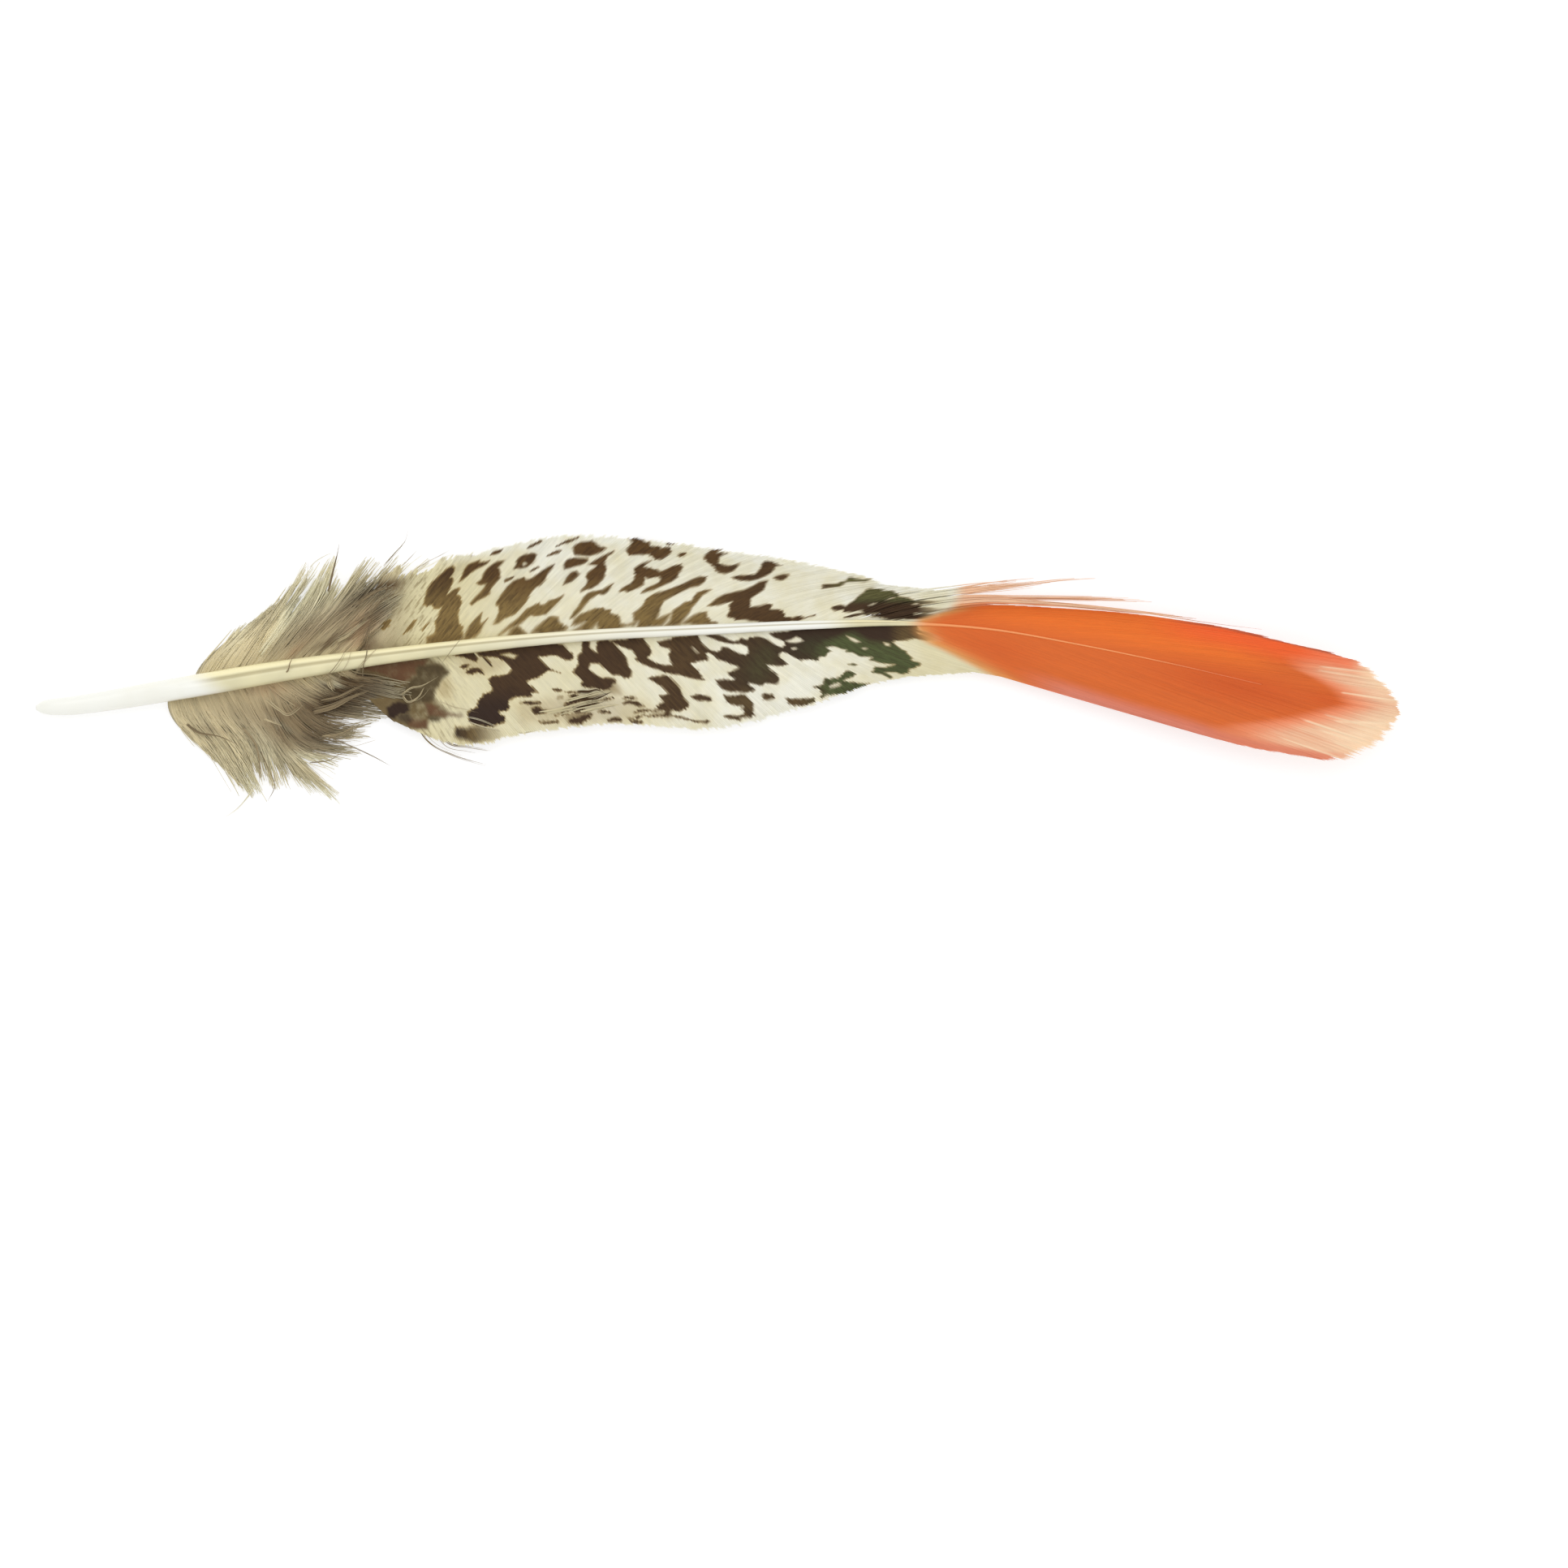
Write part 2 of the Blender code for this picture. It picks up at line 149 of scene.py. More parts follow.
LOWER_DOWN = [
    (-60.2, -59.7, -4.4, -57.9, -6.8, -55.0, -9.3, 0.4),
    (-59.6, -58.8, -4.8, -56.1, -7.9, -52.6, -11.9, 0.8),
    (-58.8, -57.6, -4.7, -54.9, -8.2, -51.4, -13.5, 1.4),
    (-57.8, -56.2, -4.9, -53.8, -8.4, -50.9, -13.6, 1.8),
    (-56.6, -54.8, -4.9, -52.3, -8.2, -50.1, -12.9, 1.4),
    (-55.4, -53.4, -4.7, -51.0, -7.8, -49.6, -12.6, 0.9),
    (-54.3, -52.2, -4.7, -49.9, -8.0, -48.4, -12.8, 1.4),
    (-53.3, -51.2, -4.7, -48.6, -8.5, -46.6, -12.9, 1.2),
    (-52.4, -50.2, -4.9, -47.5, -9.1, -43.7, -13.1, 1.8),
    (-51.6, -49.4, -5.1, -46.6, -8.9, -41.0, -14.4, 0.6),
    (-50.8, -48.7, -5.1, -46.3, -8.5, -41.4, -10.2, 1.2),
    (-49.8, -47.8, -4.7, -44.8, -7.8, -39.0, -8.9, 0.8),
    (-48.8, -46.7, -4.1, -43.2, -6.8, -38.2, -7.5, 1.6),
    (-47.8, -45.5, -3.5, -42.0, -5.9, -37.8, -5.2, 1.0),
]
LOWER_PULLS = [0.3, 1.4, 2.6, 3.6, 4.7, 5.8, 6.8, 7.8, 8.9, 10, 11.2, 12.4, 13.5]
SIDE_DOWN = [
    (-50.6, -47.4, -2.9, -43.6, -5.0, -38.8, -5.6, 1.4),
    (-49.4, -46.2, -2.5, -42.4, -4.2, -36.6, -4.9, 1.2),
    (-48.0, -45.0, -2.1, -41.2, -3.6, -35.4, -4.6, 0.9),
    (-46.6, -43.8, -1.7, -40.4, -2.9, -35.0, -4.0, 0.8),
    (-45.0, -42.4, -1.2, -39.4, -2.2, -34.6, -3.2, 0.8),
    (-43.4, -41.0, -0.7, -38.4, -1.4, -34.2, -2.3, 0.8),
    (-41.6, -39.6, -0.2, -37.4, -0.6, -34.2, -1.2, 0.8),
]
SIDE_PULLS = [0, 0.8, 2, 3, 4, 5, 6]

# Notches between the locks, as (place among the guides, share of the length that is missing there).
UPPER_NOTCHES = [
    (2.0, 0.1), (3.0, 0.17), (4.5, 0.18), (6.3, 0.26), (8.7, 0.12), (11.2, 0.1), (13.4, 0.12),
]
LOWER_NOTCHES = [(4.5, 0.12), (7.1, 0.12), (9.55, 0.42), (11.7, 0.14)]
SIDE_NOTCHES = [(0.5, 0.2)]

# Single strands and fine bundles of down: (tone, half width, strands, spread, points as (x, y, z)).
DOWN_LINES = [
    ("dark", 0.16, 6, 0.16, -44.4, -4.2, 0.9, -42.2, -3.6, 1.5, -40.2, -2.6, 1.7, -38.3, -1.9, 1.2),
    ("dark", 0.12, 4, 0.12, -43.6, -3.0, 0.9, -41.6, -2.6, 1.6, -39.8, -1.7, 1.6, -38.8, -1.2, 1.1),
    ("dark", 0.12, 3, 0.10, -58.6, -5.4, 0.6, -57.0, -6.5, 1.1, -54.8, -6.9, 1.3, -52.8, -7.7, 1.1),
    ("grey", 0.12, 3, 0.08, -52.3, -5.9, 1.0, -50.8, -7.7, 1.7, -50.3, -9.6, 1.8, -50.3, -12.0, 1.2),
    ("dark", 0.07, 2, 0.05, -50.2, -8.6, 1.2, -49.2, -10.6, 1.8, -48.6, -12.3, 1.5, -49.4, -14.0, 0.9),
    ("pale", 0.07, 2, 0.06, -50.8, -12.4, 1.4, -51.6, -13.6, 1.5, -52.8, -14.9, 1.0, -54.0, -15.7, 0.5),
    ("dark", 0.07, 2, 0.05, -44.8, -8.2, 1.4, -43.0, -8.25, 1.6, -41.4, -8.2, 1.4, -40.4, -8.1, 1.1),
    ("dark", 0.07, 2, 0.05, -44.8, -9.8, 0.9, -42.7, -9.55, 1.1, -41.4, -8.85, 1.2, -40.0, -8.7, 1.0),
    ("dark", 0.08, 2, 0.04, -42.6, -7.0, 1.6, -39.6, -8.25, 1.9, -37.6, -9.2, 1.6, -35.8, -10.2, 1.2),
    ("grey", 0.06, 1, 0.04, -42.2, -7.3, 1.3, -40.2, -7.0, 1.7, -38.5, -6.95, 1.6, -37.5, -7.25, 1.2),
    ("grey", 0.05, 1, 0.04, -37.5, -7.3, 1.2, -38.5, -7.6, 1.3, -39.6, -7.9, 1.2, -41.0, -7.9, 1.0),
    ("grey", 0.10, 4, 0.16, -43.4, -6.9, 1.4, -41.6, -6.7, 1.9, -40.2, -6.1, 2.0, -39.1, -5.1, 1.5),
    ("tan", 0.10, 3, 0.10, -49.8, -5.0, 1.4, -49.0, -5.3, 1.7, -48.4, -5.5, 1.7, -47.8, -5.8, 1.3),
    ("tan", 0.09, 3, 0.10, -49.6, -2.9, 1.5, -48.2, -4.0, 1.8, -47.0, -4.6, 1.8, -45.4, -3.4, 1.4),
    ("tan", 0.12, 6, 0.18, -42.9, -0.6, 0.8, -42.8, -1.0, 1.1, -42.6, -1.4, 1.1, -42.2, -2.0, 1.1),
    ("dark", 0.09, 4, 0.06, -42.7, 9.0, 1.6, -42.1, 11.0, 2.8, -41.6, 12.7, 3.4, -41.25, 14.15, 3.6),
    ("pale", 0.05, 2, 0.05, -44.7, 11.6, 1.8, -43.9, 12.3, 2.4, -42.9, 12.9, 2.4, -42.1, 13.2, 2.2),
    ("grey", 0.05, 1, 0.05, -36.6, 11.8, 1.6, -35.2, 13.3, 2.3, -34.2, 14.4, 2.6, -33.8, 15.7, 2.5),
    ("grey", 0.05, 1, 0.05, -36.0, 12.4, 1.6, -35.0, 13.4, 2.0, -34.3, 14.3, 2.1, -33.9, 14.7, 2.0),
    ("grey", 0.04, 1, 0.05, -34.6, 11.8, 1.2, -33.9, 12.5, 1.6, -33.3, 13.1, 1.8, -32.8, 13.7, 1.8),
    ("pale", 0.04, 1, 0.05, -34.4, 11.4, 1.2, -33.6, 12.1, 1.5, -32.8, 12.7, 1.6, -31.9, 13.3, 1.6),
    ("grey", 0.05, 1, 0.05, -33.0, 11.6, 1.2, -31.9, 12.2, 1.5, -30.5, 12.9, 1.6, -29.4, 13.5, 1.5),
    ("pale", 0.05, 1, 0.05, -32.6, 11.4, 1.1, -31.3, 12.0, 1.4, -30.0, 12.7, 1.4, -28.9, 13.1, 1.3),
    ("grey", 0.04, 1, 0.05, -45.6, 8.8, 1.6, -45.0, 10.4, 2.4, -44.8, 11.6, 2.8, -44.7, 12.7, 2.8),
    ("pale", 0.12, 5, 0.14, -50.2, 2.0, 1.0, -48.8, 3.8, 1.8, -47.8, 5.2, 2.0, -46.8, 6.7, 1.6),
    ("tan", 0.12, 5, 0.16, -41.8, 3.6, 0.9, -40.6, 4.2, 1.2, -39.4, 5.1, 1.9, -38.2, 6.0, 1.4),
    ("dark", 0.10, 4, 0.20, -38.9, 3.0, 1.2, -38.4, 4.2, 1.7, -38.0, 5.4, 1.7, -37.4, 6.7, 1.1),
    ("dark", 0.12, 4, 0.14, -39.6, 7.6, 1.8, -37.6, 8.9, 2.2, -36.0, 9.4, 2.1, -34.4, 9.3, 1.5),
    ("dark", 0.12, 3, 0.12, -39.4, 5.2, 1.4, -37.8, 6.9, 2.0, -36.4, 8.2, 2.0, -35.0, 8.9, 1.5),
    ("grey", 0.06, 2, 0.06, -48.0, -0.6, 1.4, -47.0, 0.3, 2.6, -46.7, 1.2, 2.7, -46.0, 2.6, 1.9),
    ("grey", 0.06, 2, 0.10, -43.4, -0.6, 1.2, -42.2, 0.3, 2.5, -41.2, 1.6, 2.5, -40.6, 2.9, 1.6),
    ("grey", 0.05, 1, 0.08, -42.0, -1.0, 1.2, -41.0, 0.3, 2.3, -40.4, 1.4, 2.3, -40.1, 3.0, 1.4),
    ("dark", 0.06, 2, 0.10, -39.0, -0.4, 1.1, -38.8, 0.9, 2.1, -38.5, 2.1, 1.9, -38.4, 3.6, 1.2),
    ("grey", 0.05, 1, 0.08, -40.0, -0.6, 1.0, -39.2, 0.6, 2.0, -38.0, 2.0, 2.0, -36.6, 3.5, 1.2),
    ("grey", 0.06, 1, 0.04, -30.2, 1.2, 1.2, -28.8, 2.9, 2.1, -27.5, 4.6, 1.6, -26.0, 6.4, 1.1),
    ("tan", 0.06, 2, 0.12, -34.8, -2.4, 0.9, -33.6, -1.6, 1.4, -32.4, -1.3, 1.3, -30.6, -0.3, 0.9),
    ("tan", 0.07, 2, 0.10, -34.6, -2.4, 0.9, -33.9, -3.1, 1.4, -32.8, -2.6, 1.5, -32.2, -1.5, 1.1),
    ("tan", 0.05, 1, 0.10, -33.9, -2.2, 0.9, -33.4, -3.0, 1.3, -32.4, -2.6, 1.3, -31.6, -1.6, 0.9),
    ("grey", 0.05, 1, 0.04, -30.4, -3.0, 0.6, -29.0, -3.6, 0.9, -27.6, -3.9, 0.9, -26.2, -4.3, 0.6),
]
LINE_TONES = {
    "dark": (0.8, 0.45, 0.0), "grey": (0.85, 0.0, 0.0), "tan": (0.4, 0.0, 0.0), "pale": (0.1, 0.0, 0.6),
}

# Dark marks of each vane: x and y of each corner in turn.
UPPER_MARKS = [
    (-22.4, 11.6, -22.1, 12.1, -22, 12.6, -21.6, 13, -20.8, 13.25, -20, 13.3, -19.8, 13.1, -19.95, 12.6,
     -20.3, 12.2, -20.9, 11.8, -21.6, 11.6),
    (-29.1, 11.8, -29.8, 11.5, -30.6, 10.8, -31.5, 10, -32, 9.3, -32.3, 8.4, -32.4, 7.6, -32.1, 7.4,
     -31.5, 7.6, -31.3, 7.2, -30.7, 7.2, -30.3, 7.5, -30.7, 6.5, -31, 5.8, -31.1, 4.4, -32, 4, -32, 3.3,
     -28.2, 3.7, -28, 4, -28.1, 4.6, -28, 5.2, -28.4, 5.7, -28.5, 6.5, -28.3, 7.2, -28.2, 7.8, -28.3,
     8.4, -28.6, 8.9, -28.3, 9.5, -29, 9.3, -29.8, 8.7, -29.4, 9.5, -29.1, 10.3, -29.4, 10.6, -29, 11.1,
     -29, 11.7),
    (-28.4, 10.1, -28.1, 10.8, -27.9, 11.4, -27.5, 11.9, -26.9, 12.2, -26.1, 12.5, -26.2, 12.2, -25,
     12.5, -25.3, 12.1, -26.2, 11.7, -27.1, 11.1, -27.7, 10.6),
    (-23.3, 12.6, -24.1, 12.4, -24.8, 12, -25.4, 11.5, -25.8, 10.9, -26, 10.4, -26.6, 9.9, -26, 9.9,
     -25.4, 10, -25.6, 9.6, -26, 9.1, -26.7, 8.4, -27.2, 7.8, -27, 7.6, -26.4, 8.1, -25.8, 8.4, -25.1,
     8.8, -24.8, 9.5, -24.3, 10.1, -23.8, 10.6, -23.8, 11.2, -24, 11.8, -23.5, 12.3),
    (-22.4, 10.3, -22, 10.5, -21.5, 10.6, -21, 10.4, -20.4, 10.6, -19.4, 11.3, -18.6, 11.8, -17.9, 12.1,
     -18.1, 11.7, -18.5, 11.2, -18.8, 10.8, -18.9, 10.4, -19.4, 9.8, -20, 9.5, -20.4, 9.1, -20.7, 8.6,
     -21, 7.9, -21.6, 7.2, -22.1, 6.7, -22.9, 6.3, -23.5, 6.1, -24.1, 5.6, -24.7, 5.4, -24.2, 6.3, -24,
     6.9, -24.3, 7.5, -24.2, 8.1, -23.7, 8.9, -23.1, 9.7),
    (-25.9, 6.8, -26.7, 6, -27.3, 5.3, -27.7, 4.4, -27.8, 3.8, -26.8, 4, -26.2, 4.6, -25.9, 5.3, -25.4,
     6, -26, 5.5, -26, 6.3),
    (-24, 4.3, -22.9, 5.4, -21.9, 6.2, -21, 7.2, -20.4, 7.5, -19.6, 7.9, -19.4, 7.6, -19, 7.7, -18.4,
     8.2, -17.7, 8.3, -16.9, 8.7, -17.3, 8.1, -17.9, 7.5, -18.5, 6.9, -18.9, 6.5, -19.7, 6.4, -20.5, 6.5,
     -20.9, 6.2, -21.6, 5.6, -22.9, 5),
    (-23, 4.2, -22.6, 5, -22, 5.4, -21.4, 4.9, -21.1, 4.3),
    (-20.5, 4.5, -20, 5.1, -19.2, 5.8, -18.5, 6.3, -17.5, 6.4, -17.5, 5.8, -17, 5.3, -16.5, 5.1, -17,
     4.6, -18.9, 4.4),
    (-17, 9.8, -16.7, 10.4, -16.5, 10.8, -16, 11.3, -15.5, 11.4, -15.1, 11.1, -15.4, 10.7, -16, 10.2,
     -16.6, 10),
    (-17, 11.5, -16.8, 12.2, -16.5, 12.6, -15.9, 12.8, -15.5, 12.9, -15.8, 13.5, -15.9, 13.9, -15.6,
     14.2, -14.9, 14.5, -14.1, 14.6, -13.2, 14.5, -13, 14.1, -12.1, 13.9, -12.6, 13.5, -13.2, 13.2,
     -14.1, 13, -14.2, 12.4, -14.5, 12.2, -15.1, 12, -16, 11.8),
    (-11.4, 13.5, -12.2, 13.2, -12.8, 12.9, -13.7, 12.4, -14.2, 12.1, -13.7, 12, -13.3, 11.9, -13.8,
     11.5, -14.3, 11.2, -14.6, 10.7, -14.3, 10.4, -14.5, 9.8, -15.1, 9.2, -15, 9, -14.5, 9.3, -13.9, 9.4,
     -13.2, 9.8, -12.6, 10.4, -12.3, 10.9, -12.2, 11.5, -12.4, 12.2, -12.1, 12.9, -11.5, 13.2),
    (-11.5, 10, -12, 9.7, -12.8, 9.2, -13.7, 9.1, -14.3, 8.9, -14.8, 8.4, -15.3, 7.5, -15.9, 6.8, -16.3,
     6.1, -16, 6.1, -15.3, 6.7, -14.7, 7.4, -14, 8.2, -13.2, 8.7, -12.6, 8.7, -12.1, 9, -11.8, 9.5),
    (-16, 5.4, -15.8, 6, -15.1, 6.6, -14.3, 6.9, -13.4, 7.3, -12.7, 7.3, -11.9, 7.1, -11.7, 6.7, -10.9,
     6.4, -10.7, 5.9, -10.5, 5.5, -10, 5.3, -10.9, 4.9, -12.1, 4.8, -13, 4.8, -13.3, 5.5, -13.9, 4.9,
     -14.3, 4.8, -15.8, 4.8, -15, 5.3, -14.5, 5.8, -15.3, 5.5),
    (-10.8, 9.1, -10.5, 9.5, -10, 9.8, -9.5, 10, -9.1, 10.5, -9, 11, -9.3, 11.5, -8.9, 11.8, -8.4, 12.1,
     -7.3, 12.5, -7.9, 12, -8, 11.8, -7.3, 11.8, -6.8, 11.5, -6.1, 11.4, -5.5, 11.6, -4.9, 11.9, -4.1,
     12, -3.8, 11.9, -3.8, 11.5, -4.3, 11, -4.4, 10.6, -5.1, 10.1, -5.8, 9.8, -6.5, 9.5, -7.2, 9.2, -8.4,
     8.8, -8.3, 9.1, -7.8, 9.5, -7, 9.8, -6.4, 10.1, -6.2, 10.6, -6.8, 10.6, -8, 10.6, -7.9, 10.4, -8.1,
     9.8, -8.8, 9.4, -9.7, 9.1),
    (-1.2, 10.7, -1.9, 10.7, -2.8, 10.4, -3.8, 9.9, -4.9, 9.5, -5.9, 9.2, -7, 8.8, -7.5, 8.5, -7.9, 8.2,
     -8.1, 7.7, -8.6, 7.2, -9.3, 6.7, -9.3, 6.1, -9.2, 5.7, -10.1, 5.3, -9.2, 5.3, -8.7, 5.8, -8.8, 5.1,
     -6.2, 5.2, -5.8, 5.6, -5.1, 6.7, -6.6, 6.1, -6.3, 6.8, -6.1, 7.5, -5.9, 8, -5, 8.5, -4, 9, -3, 9.5,
     -1.9, 9.8, -1.3, 10.2),
    (-0.6, 9.3, -1.5, 9.2, -2.2, 9, -2.6, 8.5, -2.9, 8, -3.6, 7.9, -4.1, 7.5, -4.9, 7, -5.1, 6.6, -5.3,
     5.8, -5.9, 5.2, -4.9, 5.2, -4.1, 5.4, -3.9, 5.7, -3.5, 6.2, -3.1, 6.7, -2.9, 7.2, -2.3, 7.8, -1.7,
     8.6, -1.2, 8.9),
    (-1.1, 6.8, -1.9, 6.8, -2.6, 6.5, -3.3, 6, -3.9, 5.6, -3, 5.5, -1.9, 5.4, 0, 5.5, 0.1, 5.7, -0.7,
     5.8, -1.1, 6.3),
    (-10.1, 13.6, -9.7, 14, -9.3, 14.5, -9.9, 14.7, -9.1, 15, -8, 15.1, -8.1, 14.6, -7.3, 14.5, -7.4, 14,
     -6.6, 14, -6.1, 13.8, -5.2, 13.9, -4.9, 13.5, -5.3, 13.1, -5.9, 12.7, -6.6, 12.6, -7.2, 12.8, -7.6,
     13.1, -8.4, 13.1, -9.5, 13.1, -9.9, 13.3),
    (-1.5, 12.7, -1.3, 13.1, -0.8, 13.5, 0, 13.8, 0.8, 13.7, 0.3, 13.5, 0, 13.3, 1.2, 13.2, 0.6, 13, 0.2,
     12.8, 0.2, 12.2, 0.7, 11.9, 1.5, 11.9, 2.4, 12.1, 2.3, 11.8, 1.9, 11.4, 1, 11.1, 0.2, 11.1, -0.3,
     11.4, -0.4, 11.9, -0.9, 12.1, -1.1, 12.2),
    (1.5, 10.6, 2, 10.8, 4.1, 10.9, 4.6, 11.4, 4.9, 11.9, 5, 12.2, 5.4, 12.5, 6.1, 12.4, 6.6, 12, 7.2,
     11.9, 6.3, 11.7, 6.2, 11.4, 5.8, 11, 5.2, 10.7, 4.5, 10.4, 3.6, 10.2, 2.5, 10.2, 1.9, 10.4),
    (6.1, 10.5, 6.4, 10.7, 7.2, 10.9, 7.9, 10.9, 7.7, 10.6, 7.2, 10.3, 6.4, 10.4),
    (-1.1, 7.5, -0.7, 7.8, -0.1, 8.3, 0.7, 8.7, 1.8, 9, 3, 9.3, 3.9, 9.7, 4.6, 10.1, 5.6, 10.3, 5.3, 9.7,
     5.2, 9.3, 4.6, 8.9, 3.7, 8.3, 3.7, 7.7, 3.6, 7.3, 4.6, 7.5, 5.6, 7.8, 6, 7.6, 5.8, 7.1, 6.6, 7.1,
     7.3, 6.9, 7.6, 6.3, 8.2, 6.1, 8.7, 6.3, 9.9, 6.3, 10.7, 6.5, 10.7, 6.3, 9.7, 6.1, 8.7, 5.8, 7.2,
     5.6, 5.1, 5.6, 4, 5.8, 2.5, 5.9, 1.2, 6.2, 1.1, 6.5, 1.4, 7, 1.2, 7.5, 1.7, 8, 0.9, 7.8, 0, 7.5),
    (11.5, 9.6, 11.7, 9.9, 12.4, 9.9, 13.2, 9.9, 13.7, 10.2, 14.1, 10.2, 14.6, 10.7, 15.1, 10.5, 16.2,
     10.4, 17, 10.5, 16.4, 10.1, 15.3, 10.1, 14.3, 10.1, 13.5, 9.6, 12.4, 9.5, 11.6, 9.4),
    (12.4, 7.1, 12.7, 7.4, 13.5, 7.5, 14.1, 7.4, 14.5, 7.7, 15, 8, 15.6, 8.6, 16.1, 8.9, 16.4, 9.3, 17,
     9.5, 17.6, 9.4, 18.1, 9.2, 19.3, 9, 19.9, 8.8, 20, 8.5, 20.6, 8.4, 21.2, 8.3, 21.7, 8, 22.4, 7.7,
     22.3, 7.1, 21.7, 6.8, 21.6, 6.2, 19.9, 6, 18.8, 6, 18.1, 6.2, 16.5, 6.4, 16, 6.8, 16.1, 7, 15.1,
     6.9, 14.1, 6.8, 13.8, 7, 12.8, 6.9),
]
